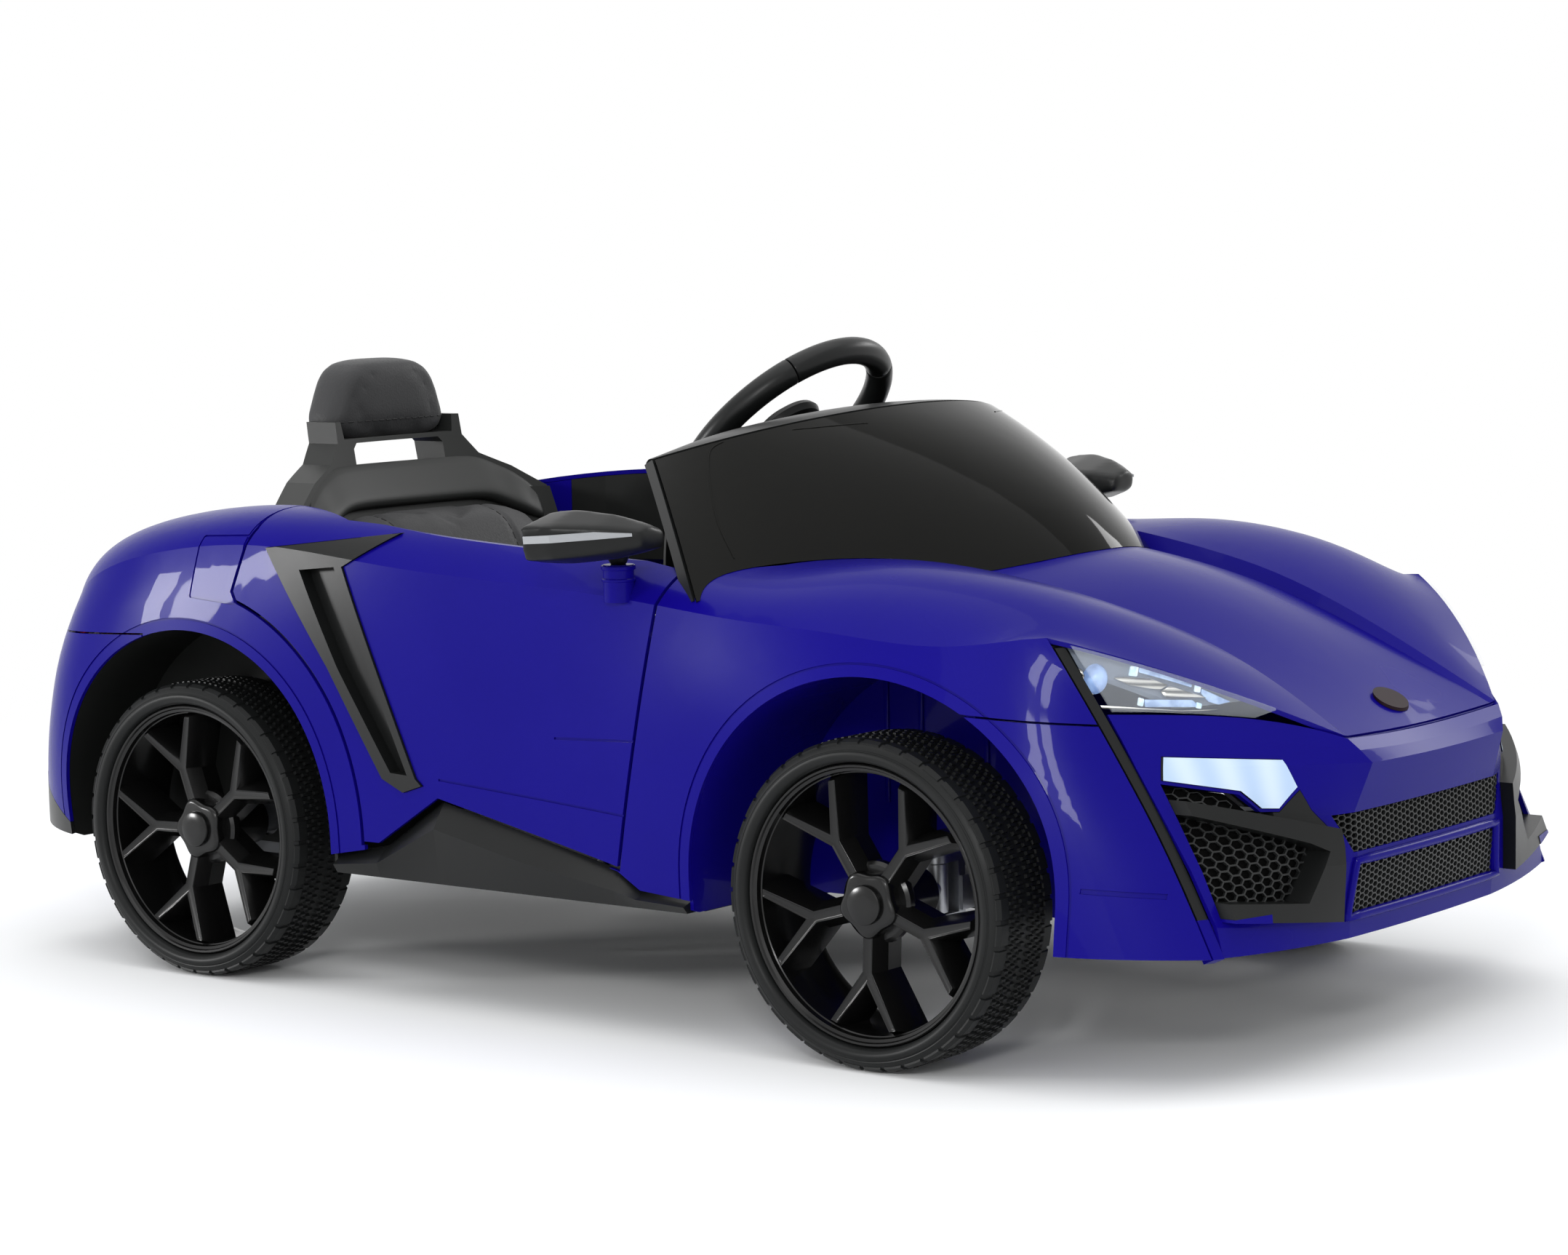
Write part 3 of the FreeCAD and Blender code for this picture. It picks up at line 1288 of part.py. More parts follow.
# Steering wheel, drawn flat about its own axis and then set on the column's end.
ring = doc.addObject("Part::Torus", "wheel_ring")
ring.setExpression("Radius1", bound("ring_radius"))
ring.setExpression("Radius2", bound("ring_tube"))
wheel_parts = [ring, rod("wheel_hub", "wheel_hub_radius", "hub_depth + hub_top", ("0", "0", "-hub_depth"))]
spoke_z = ("-spoke_drop", "spoke_wall - spoke_drop")
half_spoke = "spoke_width / 2"
wheel_parts.append(box_at("spoke_cross", around("0", half_spoke), around("0", "ring_radius"), spoke_z))
wheel_parts.append(box_at("spoke_down", ("-ring_radius", "0"), around("0", half_spoke), spoke_z))
wheel_voids = [
    rod(
        "horn_recess", "horn_radius + seat_gap", "horn_recess_depth",
        ("0", "0", "hub_top - horn_recess_depth")
    ),
    rod(
        "wheel_bore", "column_radius + running_gap", "hub_depth - hub_bore_end + lug_gap",
        ("0", "0", "-hub_depth")
    ),
]
steering_wheel = without(
    "steering_wheel", joined("wheel_solid", wheel_parts), joined("wheel_voids", wheel_voids)
)
keep("steering_wheel", place(steering_wheel, on_column("column_length"), COLUMN_AXIS))
horn_place = "column_length + hub_top - horn_recess_depth + horn_travel + lug_gap"
keep("horn_button", rod("horn_button", "horn_radius", "horn_height", on_column(horn_place), COLUMN_AXIS))

# Floor pan: one stepped plate with a shallow keel under the cabin.
FLOOR_SHARES = [
    (-0.86, 0.62), (-0.24, 0.62), (-0.24, 0.43), (0.085, 0.43), (0.085, 0.62), (0.246, 0.62), (0.246, 0.899),
    (0.754, 0.899), (0.754, 0.53), (1.83, 0.53), (1.9, 0.44),
]
KEEL_SHARES = [(0.19, 0.5), (0.69, 0.5)]


def plan_texts(shares):
    right = [(along(a), f"-({across(y)})") for a, y in shares]
    left = [(along(a), across(y)) for a, y in reversed(shares)]
    return right + left


floor_pan = new_body("floor_pan", ("0", "0", "floor_height"))
floor_sketch = outline_sketch(floor_pan, "floor_outline", "XY_Plane", plan_texts(FLOOR_SHARES))
floor_pad = floor_pan.newObject("PartDesign::Pad", "floor_plate")
floor_pad.Profile = floor_sketch
floor_pad.setExpression("Length", bound("floor_wall"))
doc.recompute()
keel_sketch = outline_sketch(floor_pan, "keel_outline", "XY_Plane", plan_texts(KEEL_SHARES))
keel_pad = floor_pan.newObject("PartDesign::Pad", "floor_keel")
keel_pad.Profile = keel_sketch
keel_pad.Reversed = True
keel_pad.setExpression("Length", bound("keel_depth"))
floor_pan.Tip = keel_pad
keep("floor_pan", floor_pan)

battery = box_at(
    "battery", (along(0.09), along(0.306)), around("0", across(0.15)),
    ("floor_top", "floor_top + battery_height")
)
keep("battery", battery)
control_box = box_at(
    "control_box", (along(0.13), along(0.23)), (across(0.2), across(0.36)),
    ("floor_top", "floor_top + control_height")
)
keep("control_box", control_box)

# Accelerator pedal on its floor bracket.
pedal_x = along(0.686)
pedal_z = "floor_top + pedal_lift"
pedal_y = f"-({across(0.3)})"
PEDAL_RISE = 35
PEDAL_AXIS = Vector(-math.sin(math.radians(PEDAL_RISE)), 0, math.cos(math.radians(PEDAL_RISE)))
pedal_plate = box(
    "pedal_plate",
    ("pedal_length", "pedal_width", "pedal_wall"),
    (pedal_x, f"{pedal_y} - pedal_width / 2", pedal_z),
)
place(pedal_plate, (pedal_x, f"{pedal_y} - pedal_width / 2", pedal_z), PEDAL_AXIS)
pedal_barrel = rod(
    "pedal_barrel", "pedal_barrel_radius", "pedal_width",
    (pedal_x, f"{pedal_y} + pedal_width / 2", pedal_z), ACROSS_AXIS
)
pedal_bore = rod(
    "pedal_bore", "hinge_pin + running_gap", "2 * pedal_width",
    (pedal_x, f"{pedal_y} + pedal_width", pedal_z), ACROSS_AXIS
)
pedal = without("accelerator_pedal", joined("pedal_solid", [pedal_plate, pedal_barrel]), pedal_bore)
keep("accelerator_pedal", pedal)
ear_parts = [
    rod(
        "pedal_pin", "hinge_pin", "pedal_width + 2 * pedal_ear",
        (pedal_x, f"{pedal_y} + pedal_width / 2 + pedal_ear", pedal_z),
        ACROSS_AXIS,
    )
]
for sign in ("-", "+"):
    near = f"{pedal_y} {sign} (pedal_width / 2 + seat_gap)"
    away = f"{pedal_y} {sign} (pedal_width / 2 + pedal_ear)"
    across_range = (away, near) if sign == "-" else (near, away)
    ear_parts.append(
        box_at(
            "pedal_ear_low" if sign == "-" else "pedal_ear_high",
            around(pedal_x, "pedal_barrel_radius"),
            across_range,
            ("floor_top", f"{pedal_z} + pedal_barrel_radius"),
        )
    )
keep("pedal_bracket", joined("pedal_bracket", ear_parts))

# Dashboard: a curved sheet up to the cap, with the lever's ears behind it.
LEVER_STATION = 0.69
LEVER_ACROSS_SHARE = 0.39
LEVER_UP_SHARE = 0.985
BUTTON_UP_SHARE = 1.0
DASH_FACE_STATION = 0.651
lever_x = num(along(LEVER_STATION))
lever_y = -num(across(LEVER_ACROSS_SHARE))
lever_z = num(up(LEVER_UP_SHARE))
button_y = num(across(LEVER_ACROSS_SHARE))
button_z = num(up(BUTTON_UP_SHARE))
dash_face = num(along(DASH_FACE_STATION))
dash_grid = sheet_grid(DASHBOARD_SHARES)
dash = plain_sheet(dash_grid, 0, num("lining_wall")).cut(under_cap)
column_foot = Vector(*[num(t) for t in on_column("0")])
column_hole = Part.makeCylinder(
    num("column_radius + panel_gap"), num("column_length"), column_foot, COLUMN_AXIS
)
button_hole = Part.makeCylinder(
    num("button_radius + seat_gap"), num("2 * cut_overrun"),
    Vector(dash_face - num("cut_overrun"), button_y, button_z), Vector(1, 0, 0),
)
slot_half = num("lever_radius + seat_gap")
lever_slot = Part.makeBox(
    num("2 * cut_overrun"), 2 * slot_half, num("2 * lever_slot_half"),
    Vector(lever_x - num("2 * cut_overrun"), lever_y - slot_half, lever_z - num("lever_slot_half")),
)
dash = biggest(dash.cut([column_hole, button_hole, lever_slot]))
ear_wall = num("lining_wall")
ear_reach = num("lever_barrel")
cabin_side = plain_sheet(dash_grid, num("-2 * cut_overrun"), num("lining_wall / 2"))
ears = []
for low in (
    lever_y - num("lever_width / 2") - seat_gap - ear_wall, lever_y + num("lever_width / 2") + seat_gap
):
    ear_back = dash_face - num("cut_overrun")
    ear = Part.makeBox(
        lever_x + ear_reach - ear_back, ear_wall, 2 * ear_reach, Vector(ear_back, low, lever_z - ear_reach)
    )
    ears.append(biggest(ear.cut(cabin_side)))
pin_length = num("lever_width + 2 * (seat_gap + lining_wall)")
lever_pin = Part.makeCylinder(
    num("hinge_pin"), pin_length, Vector(lever_x, lever_y - pin_length / 2, lever_z), Vector(0, 1, 0)
)
dash = dash.fuse(ears + [lever_pin])
piece("dashboard", dash)

lever_texts = (along(LEVER_STATION), f"-({across(LEVER_ACROSS_SHARE)})", up(LEVER_UP_SHARE))
KNOB_SHARES = [(0.4, -1), (0.86, -0.6), (1, 0), (0.86, 0.6), (0.5, 0.92), (0, 1)]
lever_arm = doc.addObject("PartDesign::Body", "lever_arm")
lever_arm.Placement = Placement(Vector(0, 0, 0), Rotation(Vector(0, 1, 0), Vector(-1, 0, 0)))
place(lever_arm, lever_texts)
knob_points = [
    (f"{radius} * lever_knob_radius", f"lever_length + {height} * lever_knob_radius")
    for radius, height in KNOB_SHARES
]
turned(lever_arm, "lever_turned", [("0", "0"), ("lever_radius", "0")] + knob_points)
doc.recompute()
lever_eye = rod(
    "lever_eye", "lever_barrel", "lever_width",
    (lever_texts[0], f"{lever_texts[1]} + lever_width / 2", lever_texts[2]),
    ACROSS_AXIS,
)
lever_bore = rod(
    "lever_bore", "hinge_pin + running_gap", "2 * lever_width",
    (lever_texts[0], f"{lever_texts[1]} + lever_width", lever_texts[2]), ACROSS_AXIS,
)
keep("gear_lever", without("gear_lever", joined("lever_solid", [lever_arm, lever_eye]), lever_bore))
button_start = (
    f"{along(DASH_FACE_STATION)} - button_length / 2", across(LEVER_ACROSS_SHARE), up(BUTTON_UP_SHARE)
)
keep("power_button", rod("power_button", "button_radius", "button_length", button_start, Vector(1, 0, 0)))

# Wheel housings: an arched band from the inner plate out to the skin.
floor_top = num("floor_top")
liner_foot = num("floor_height + floor_wall / 2")
above_floor = Part.makeBox(
    num("2 * half_length"), 2 * far, top, Vector(-num("half_length"), -far, liner_foot)
)
lining_wall = num("lining_wall")


def wheel_liner(place_name, plate_y, windows):
    outer = arch_cutter(place_name, arch_radius + lining_wall)
    inner = arch_cutter(place_name, arch_radius)
    right = Part.makeBox(num("2 * half_length"), far - plate_y, top, Vector(-num("half_length"), -far, 0))
    beyond = Part.makeBox(
        num("2 * half_length"), far - plate_y - lining_wall, top, Vector(-num("half_length"), -far, 0)
    )
    housing = outer.common(right).cut(inner.common(beyond)).cut(windows)
    return biggest(housing.common(under_skin).common(above_floor))


plate_front = num("liner_front_y")
plate_rear = num("liner_rear_y")
front_window = Part.makeBox(
    num("steer_arm + 3 * lug_radius + beam_width"), far, num("2 * beam_width + lug_radius"),
    Vector(num("front_axle_x - steer_arm - 2 * lug_radius"), -far, num("floor_top - beam_width")),
)
rear_window = Part.makeCylinder(
    num("drive_boss + panel_gap"), far, Vector(num("rear_axle_x"), -far, num("tyre_radius")), Vector(0, 1, 0)
)
piece("front_wheel_liners", *pair(wheel_liner("front", plate_front, [front_window])))
rear_liner = wheel_liner("rear", plate_rear, [rear_window])

# Seat: a moulded shell on a hollow stand, the headrest frame with its handle slot, and soft pads.
# Rows run from the front lip over the pan and up the back: station, height, half width, edge set forward,
# edge lift.
SEAT_SHARES = [
    (0.357, 0.43, 0.5, 0, 0), (0.352, 0.55, 0.507, 0, 0.02), (0.268, 0.551, 0.527, 0, 0.04),
    (0.144, 0.534, 0.54, 0, 0.05), (0.036, 0.526, 0.55, 0.006, 0.057), (-0.03, 0.586, 0.557, 0.022, 0.04),
    (-0.096, 0.743, 0.553, 0.034, 0.011), (-0.152, 0.886, 0.533, 0.039, 0), (-0.196, 1.006, 0.507, 0.04, 0),
]
SEAT_COLUMN_SHARES = ((1, 1, 1), (0.8, 0.32, 0.3), (0.4, 0, 0), (0, 0, 0))


def seat_grid():
    grid = []
    for station, height, width, forward, lift in SEAT_SHARES:
        x = num(along(station))
        half = []
        for y_share, forward_share, lift_share in SEAT_COLUMN_SHARES:
            place_x = x + num("wheelbase") * forward * forward_share
            half.append(Vector(place_x, -num(across(width * y_share)), num(up(height + lift * lift_share))))
        grid.append(both_sides(half))
    return grid


seat = seat_grid()
seat_wall = num("seat_wall")
seat_sheet = plain_sheet(seat, 0, seat_wall)
seat_room = plain_sheet(seat, -seat_gap, num("cut_overrun"))
seat_solid = plain_sheet(seat, num("-cut_overrun"), seat_wall + seat_gap)
stand_low = spot(0.066, -0.45, 0)
stand_high = spot(0.335, 0.45, 0.6)
stand_size = stand_high - stand_low
stand_wall = num("stand_wall")
stand = Part.makeBox(
    stand_size.x, stand_size.y, stand_size.z - floor_top, Vector(stand_low.x, stand_low.y, floor_top)
)
stand_hollow = Part.makeBox(
    stand_size.x - 2 * stand_wall, stand_size.y - 2 * stand_wall, stand_size.z,
    Vector(stand_low.x + stand_wall, stand_low.y + stand_wall, 0),
)
seat_stand = biggest(stand.cut([stand_hollow, seat_room]))

# Headrest frame: rows of height, front station, rear station; its sides come forward.
FRAME_ROW_SHARES = [
    (0.94, -0.187, -0.322), (1.02, -0.209, -0.335), (1.08, -0.235, -0.387), (1.26, -0.274, -0.413)
]
FRAME_BOW_SHARES = ((0.55, 0.056), (0.3, 0.012), (0, 0))
FRAME_OUTLINE_SHARES = [
    (-0.5, 0.94), (-0.5, 1.01), (-0.4, 1.062), (-0.3, 1.098), (-0.252, 1.145), (-0.25, 1.195),
    (-0.225, 1.195), (-0.218, 1.154),
]
SLOT_SHARES = [(-0.18, 1.085), (-0.18, 1.13), (-0.165, 1.143), (0.165, 1.143), (0.18, 1.13), (0.18, 1.085)]


def frame_side(index):
    grid = []
    for row in FRAME_ROW_SHARES:
        x = num(along(row[index]))
        half = [
            Vector(x + num("wheelbase") * bow, -num(across(y)), num(up(row[0])))
            for y, bow in FRAME_BOW_SHARES
        ]
        grid.append(both_sides(half))
    return grid


frame_slab = thick_sheet(frame_side(1), frame_side(2), (0, 3), (0, 4))
frame_half = FRAME_OUTLINE_SHARES
frame_outline = front_points(frame_half + [(-y, z) for y, z in reversed(frame_half)])
frame_prism = front_prism(frame_outline, -nose, 0)
slot_prism = front_prism(front_points(SLOT_SHARES), -nose, 0)
head_frame = biggest(frame_slab.common(frame_prism).cut([slot_prism, seat_solid]))
piece("seat_shell", seat_sheet, seat_stand, head_frame)

RING_STEPS = 20
RING_SQUARENESS = 0.5


def ring_wire(centre, half_u, half_v, taper=0.0):
    """A rounded-square ring; taper narrows it towards the v side."""
    points = []
    for step in range(RING_STEPS):
        angle = 2 * math.pi * step / RING_STEPS
        u = math.copysign(abs(math.cos(angle)) ** RING_SQUARENESS, math.cos(angle))
        v = math.copysign(abs(math.sin(angle)) ** RING_SQUARENESS, math.sin(angle))
        points.append(centre + half_u * (u * (1 - taper * v)) + half_v * v)
    curve = Part.BSplineCurve()
    curve.interpolate(points, PeriodicFlag=True)
    return Part.Wire(curve.toShape())


def soft_solid(sections):
    return Part.makeLoft([ring_wire(*section) for section in sections], True, False)


# Height share and size share of a pad's rings, crowned on top and drawn in at the foot.
PAD_SHARES = [(0, 0.93), (0.3, 1.0), (0.6, 0.99), (0.8, 0.93), (0.91, 0.8), (0.97, 0.55), (1, 0.2)]
BOTH_ENDS_SHARES = [
    (0, 0.7), (0.05, 0.86), (0.17, 0.96), (0.4, 1.0), (0.66, 0.99), (0.86, 0.93), (0.96, 0.78), (1, 0.55),
]


def pad(low, high, half_u, half_v, shares, taper=0.0):
    sections = []
    for place_share, size_share in shares:
        centre = low + (high - low) * place_share
        sections.append((centre, half_u * size_share, half_v * size_share, taper))
    return soft_solid(sections)


seat_pad = pad(
    spot(0.186, 0, 0.53), spot(0.186, 0, 0.655),
    Vector(num("seat_pad_half"), 0, 0), Vector(0, num(across(0.42)), 0), PAD_SHARES,
)
back_pad = pad(
    spot(-0.09, 0, 0.83), spot(0.055, 0, 0.775),
    Vector(0, num(across(0.43)), 0), spot(-0.11, 0, 1.0) - spot(0, 0, 0.815), PAD_SHARES,
)
HEAD_TAPER_SHARE = 0.18
head_pad = pad(
    spot(-0.43, 0, 1.25), spot(-0.215, 0, 1.246),
    Vector(0, num(across(0.2)), 0), Vector(0, 0, num(up(0.092))), BOTH_ENDS_SHARES, HEAD_TAPER_SHARE,
)
pads = [biggest(seat_pad.cut(seat_solid)), biggest(back_pad.cut(seat_solid))]
piece("seat_pads", *pads, head_pad)

# Door hinges: the axis runs beside the door's slanted front edge.
edge_low, edge_high = door_outline[0], door_outline[-1]
hinge_axis = Vector(edge_high[0] - edge_low[0], 0, edge_high[1] - edge_low[1]).normalize()
hinge_y = -num("hinge_y")


def hinge_point(z):
    x = edge_low[0] + (z - edge_low[1]) * hinge_axis.x / hinge_axis.z
    return Vector(x - num("hinge_set"), hinge_y, z)


def hinge_bar(radius, low, high):
    start = hinge_point(low)
    return Part.makeCylinder(radius, (high - low) / hinge_axis.z, start, hinge_axis)


door_pin = num("hinge_pin")
barrel_radius = num("hinge_barrel")
low_pin = (num(up(0.3)), num(up(0.45)))
COLLAR_FOOT_SHARE = 0.33
low_collar = (num(up(COLLAR_FOOT_SHARE)), num(up(0.388)))
low_barrel = (num(up(0.39)), num(up(0.46)))
high_plate = (num(up(0.843)), num(up(0.857)))
high_barrel = (num(up(0.75)), num(up(0.84)))
bracket_at = hinge_point(high_plate[0])
arm_near = num("hinge_arm_inset")
arm_far = arm_near + num("hinge_barrel")
reach_low = num("hinge_reach")
reach_high = reach_low + num("2 * hinge_barrel")
out_reach = num("2 * cut_overrun")
BRACKET = [
    (-barrel_radius, 0), (barrel_radius, 0), (barrel_radius, arm_near), (reach_low, arm_near),
    (reach_low, -out_reach),
    (reach_high, -out_reach), (reach_high, arm_far), (-barrel_radius, arm_far),
]
bracket = plan_prism([(bracket_at.x + x, bracket_at.y + y) for x, y in BRACKET], *high_plate)
bracket = biggest(bracket.common(under_skin))
bracket = bracket.fuse([
    Part.makeCylinder(barrel_radius, high_plate[1] - high_plate[0], bracket_at),
    hinge_bar(door_pin, high_barrel[0] + seat_gap, high_plate[1]),
])
low_hinge = hinge_bar(door_pin, *low_pin).fuse(hinge_bar(barrel_radius - seam, *low_collar))
piece("door_hinges", *pair(bracket), *pair(low_hinge))

# Door lining: a tray behind the outer panel, with the hinge barrels at its front.
liner_y = -num("liner_inside_y")


def door_block(inner_y, shrink):
    """All that lies behind the door's outline, from the far side in to a plane."""
    prism = side_prism(grown(door_outline, -shrink), -far, inner_y)
    return prism.cut(arch_cutter("rear", num("arch_radius + arch_band") + shrink))


liner_step = num("liner_step")
tray = door_block(liner_y, liner_step).common(under_skin)
tray = biggest(tray.cut(door_block(liner_y - lining_wall, liner_step + lining_wall)))
barrels = hinge_bar(barrel_radius, *low_barrel).fuse(hinge_bar(barrel_radius, *high_barrel))
notch_corner = Vector(bracket_at.x - 3 * barrel_radius, -far, high_barrel[1] - barrel_radius)
notch = Part.makeBox(
    num("4 * cut_overrun"), far + liner_y + num("cut_overrun"), num("2 * barrel_room"), notch_corner
)
hinge_bore = hinge_bar(door_pin + num("running_gap"), 0, num("deck_height"))
low_room = hinge_bar(barrel_radius, 0, low_barrel[0])
liner = biggest(tray.cut([notch, low_room, vent_room]).fuse(barrels).cut([hinge_bore]))

# Mirrors: a pod of flat facets on a stalk that turns in a socket on the door.
# Each section has its station and six corners: inner foot, inner head, peak, outer head, outer foot, middle
# foot.
MIRROR_SHARES = [
    (0.622, (-0.965, 0.99), (-0.97, 1.05), (-1.1, 1.078), (-1.212, 1.055), (-1.2, 0.985), (-1.1, 0.974)),
    (0.66, (-0.93, 0.99), (-0.935, 1.055), (-1.1, 1.086), (-1.2, 1.057), (-1.19, 0.99), (-1.1, 0.976)),
    (0.7, (-0.935, 0.993), (-0.94, 1.05), (-1.06, 1.076), (-1.13, 1.052), (-1.12, 1.0), (-1.06, 0.985)),
    (0.735, (-0.965, 1.008), (-0.97, 1.04), (-1.02, 1.052), (-1.055, 1.042), (-1.05, 1.012), (-1.02, 1.004)),
]


def mirror_section(shares, scale=1.0, shift=0.0):
    corners = [spot(shares[0], y, z) + Vector(shift, 0, 0) for y, z in shares[1:]]
    middle = sum(corners, Vector(0, 0, 0)) / len(corners)
    placed = [middle + (corner - middle) * scale for corner in corners]
    return Part.makePolygon(placed + placed[:1])


def faceted(sections):
    return Part.makeLoft(sections, True, True)


pod = faceted([mirror_section(shares) for shares in MIRROR_SHARES])
GLASS_SHARE = 0.86
RECESS_SHARE = 0.89
glass_depth = num("mirror_recess")
rear_face = MIRROR_SHARES[0]
recess_tool = faceted(
    [mirror_section(rear_face, RECESS_SHARE, shift) for shift in (-glass_depth, glass_depth)]
)
mirror_pane = faceted(
    [mirror_section(rear_face, GLASS_SHARE, shift) for shift in (seam, glass_depth - seat_gap)]
)
stalk_foot = spot(0.664, -0.96, 0.966)
socket_radius = num("socket_radius")
stalk_radius = num("stalk_radius")
stalk_pin = num("stalk_pin")
socket_low = num(up(0.89))
socket = Part.makeCylinder(
    socket_radius, stalk_foot.z - socket_low, Vector(stalk_foot.x, stalk_foot.y, socket_low)
)
pin_low = num(up(0.905))
pin_bore = Part.makeCylinder(
    stalk_pin + num("running_gap"), top, Vector(stalk_foot.x, stalk_foot.y, pin_low - seat_gap)
)
stalk_base = Vector(stalk_foot.x, stalk_foot.y, stalk_foot.z + seat_gap)
stalk = Part.makeCylinder(
    stalk_pin, stalk_base.z - pin_low + seam, Vector(stalk_foot.x, stalk_foot.y, pin_low)
)
stalk = stalk.fuse(Part.makeCylinder(stalk_radius, num("stalk_rise"), stalk_base))
mirror_body = biggest(pod.cut(recess_tool).fuse(stalk))
door_outer = biggest(door_panel.fuse(socket).cut(pin_bore))
socket_room = Part.makeCylinder(
    socket_radius + seat_gap, top, Vector(stalk_foot.x, stalk_foot.y, socket_low - seat_gap)
)
liner = biggest(liner.cut(socket_room))

for side, turn in (("right", lambda shape: shape), ("left", mirrored)):
    piece(f"door_panel_{side}", turn(door_outer))
    piece(f"vent_trim_{side}", turn(vent))
    piece(f"door_liner_{side}", turn(liner))
    piece(f"mirror_housing_{side}", turn(mirror_body))
    piece(f"mirror_glass_{side}", turn(mirror_pane))

# Skirts keep a hole for the lower hinge pin.
pin_room = hinge_bar(door_pin + num("running_gap"), 0, num("deck_height"))
collar_room = hinge_bar(barrel_radius, low_collar[0] - seat_gap, num("deck_height"))
liner_room = [
    arch_cutter(place_name, num("arch_radius + lining_wall + seat_gap")) for place_name in ("front", "rear")
]
piece("side_skirts", *pair(biggest(skirt().cut([pin_room, collar_room] + liner_room))))

# Inner wall of the cabin round the back of the seat: painted at the tail, black lining from there forward.
cabin = cockpit_outline()
wall_ring = plan_prism(grown(cabin, lining_wall), num(up(0.815)), top).cut(plan_prism(cabin, 0, top))
wall_ring = wall_ring.common(under_skin)
wall_break = num(along(-0.17))
wall_front = num(along(0.075))
tail_room = Part.makeBox(wall_break - tail, 2 * far, top, Vector(tail, -far, 0))
lining_start = wall_break + seat_gap
lining_box = Part.makeBox(wall_front - lining_start, far, top, Vector(lining_start, -far, 0))
piece("rear_body_shell", rear_shell, biggest(wall_ring.common(tail_room)))
piece("rear_wheel_liners", *pair(rear_liner), *pair(biggest(wall_ring.common(lining_box))))

# A plain oval plate on the nose.
OVAL_SHARE = 1.86
oval_at = Vector(num(along(OVAL_SHARE)), 0, 0)
oval = Part.Ellipse(Vector(0, 0, 0), num("oval_half_width"), num("oval_half_length")).toShape()
oval_face = Part.Face(Part.Wire(oval))
oval_face.rotate(Vector(0, 0, 0), Vector(0, 0, 1), 90)
oval_face.translate(oval_at)
oval_layer = plain_sheet([line[7:12] for line in skin[-4:]], num("-oval_stand"), -seat_gap)
piece("nose_oval", biggest(oval_layer.common(oval_face.extrude(Vector(0, 0, top)))))

doc.recompute()
for node in doc.Objects:
    if "Invalid" in node.State or "Error" in node.State:
        raise RuntimeError(f"{node.Label} failed: {node.State}")
for node in pieces:
    if node.Shape.isNull() or not node.Shape.isValid() or not node.Shape.Solids:
        raise RuntimeError(f"{node.Label} has no valid solid")
    for solid in node.Shape.Solids:
        if solid.Volume <= 0 or not solid.BoundBox.isInside(solid.CenterOfMass):
            raise RuntimeError(f"{node.Label} has a solid turned inside out")
os.makedirs("parts", exist_ok=True)
for node in pieces:
    node.Shape.exportStep(f"parts/{node.Label}.step")
print(len(pieces), "sub-parts")
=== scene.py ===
import math

import bmesh
import bpy
from mathutils import Matrix, Vector
from mathutils.bvhtree import BVHTree


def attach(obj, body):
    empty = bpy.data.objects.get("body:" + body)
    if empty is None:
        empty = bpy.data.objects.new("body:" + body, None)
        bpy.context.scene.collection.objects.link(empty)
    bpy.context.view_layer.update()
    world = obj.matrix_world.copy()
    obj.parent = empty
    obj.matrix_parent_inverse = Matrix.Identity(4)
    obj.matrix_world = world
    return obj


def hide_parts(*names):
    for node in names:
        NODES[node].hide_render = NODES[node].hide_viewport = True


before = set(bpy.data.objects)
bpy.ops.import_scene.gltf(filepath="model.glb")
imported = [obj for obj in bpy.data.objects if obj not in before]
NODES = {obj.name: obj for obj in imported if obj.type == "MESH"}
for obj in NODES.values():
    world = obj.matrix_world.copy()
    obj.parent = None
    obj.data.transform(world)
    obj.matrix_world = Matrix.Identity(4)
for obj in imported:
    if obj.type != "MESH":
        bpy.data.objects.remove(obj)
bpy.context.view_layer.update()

MM = 0.001
SIDES = (("right", -1), ("left", 1))
FORWARD = Vector((1, 0, 0))
SIDEWAYS = Vector((0, 1, 0))
UPWARD = Vector((0, 0, 1))


# Finishes: plain sums on sockets add the nodes of a material.


class Field:
    """A socket of a finish that can stand in a sum."""

    def __init__(self, finish, socket):
        self.finish = finish
        self.socket = socket

    def calc(self, operation, *values):
        inputs = dict(enumerate(values))
        return self.finish.node("ShaderNodeMath", {"operation": operation}, inputs)

    def __add__(self, other):
        return self.calc("ADD", self, other)

    def __sub__(self, other):
        return self.calc("SUBTRACT", self, other)

    def __mul__(self, other):
        return self.calc("MULTIPLY", self, other)

    def __abs__(self):
        return self.calc("ABSOLUTE", self)

    __radd__ = __add__
    __rmul__ = __mul__


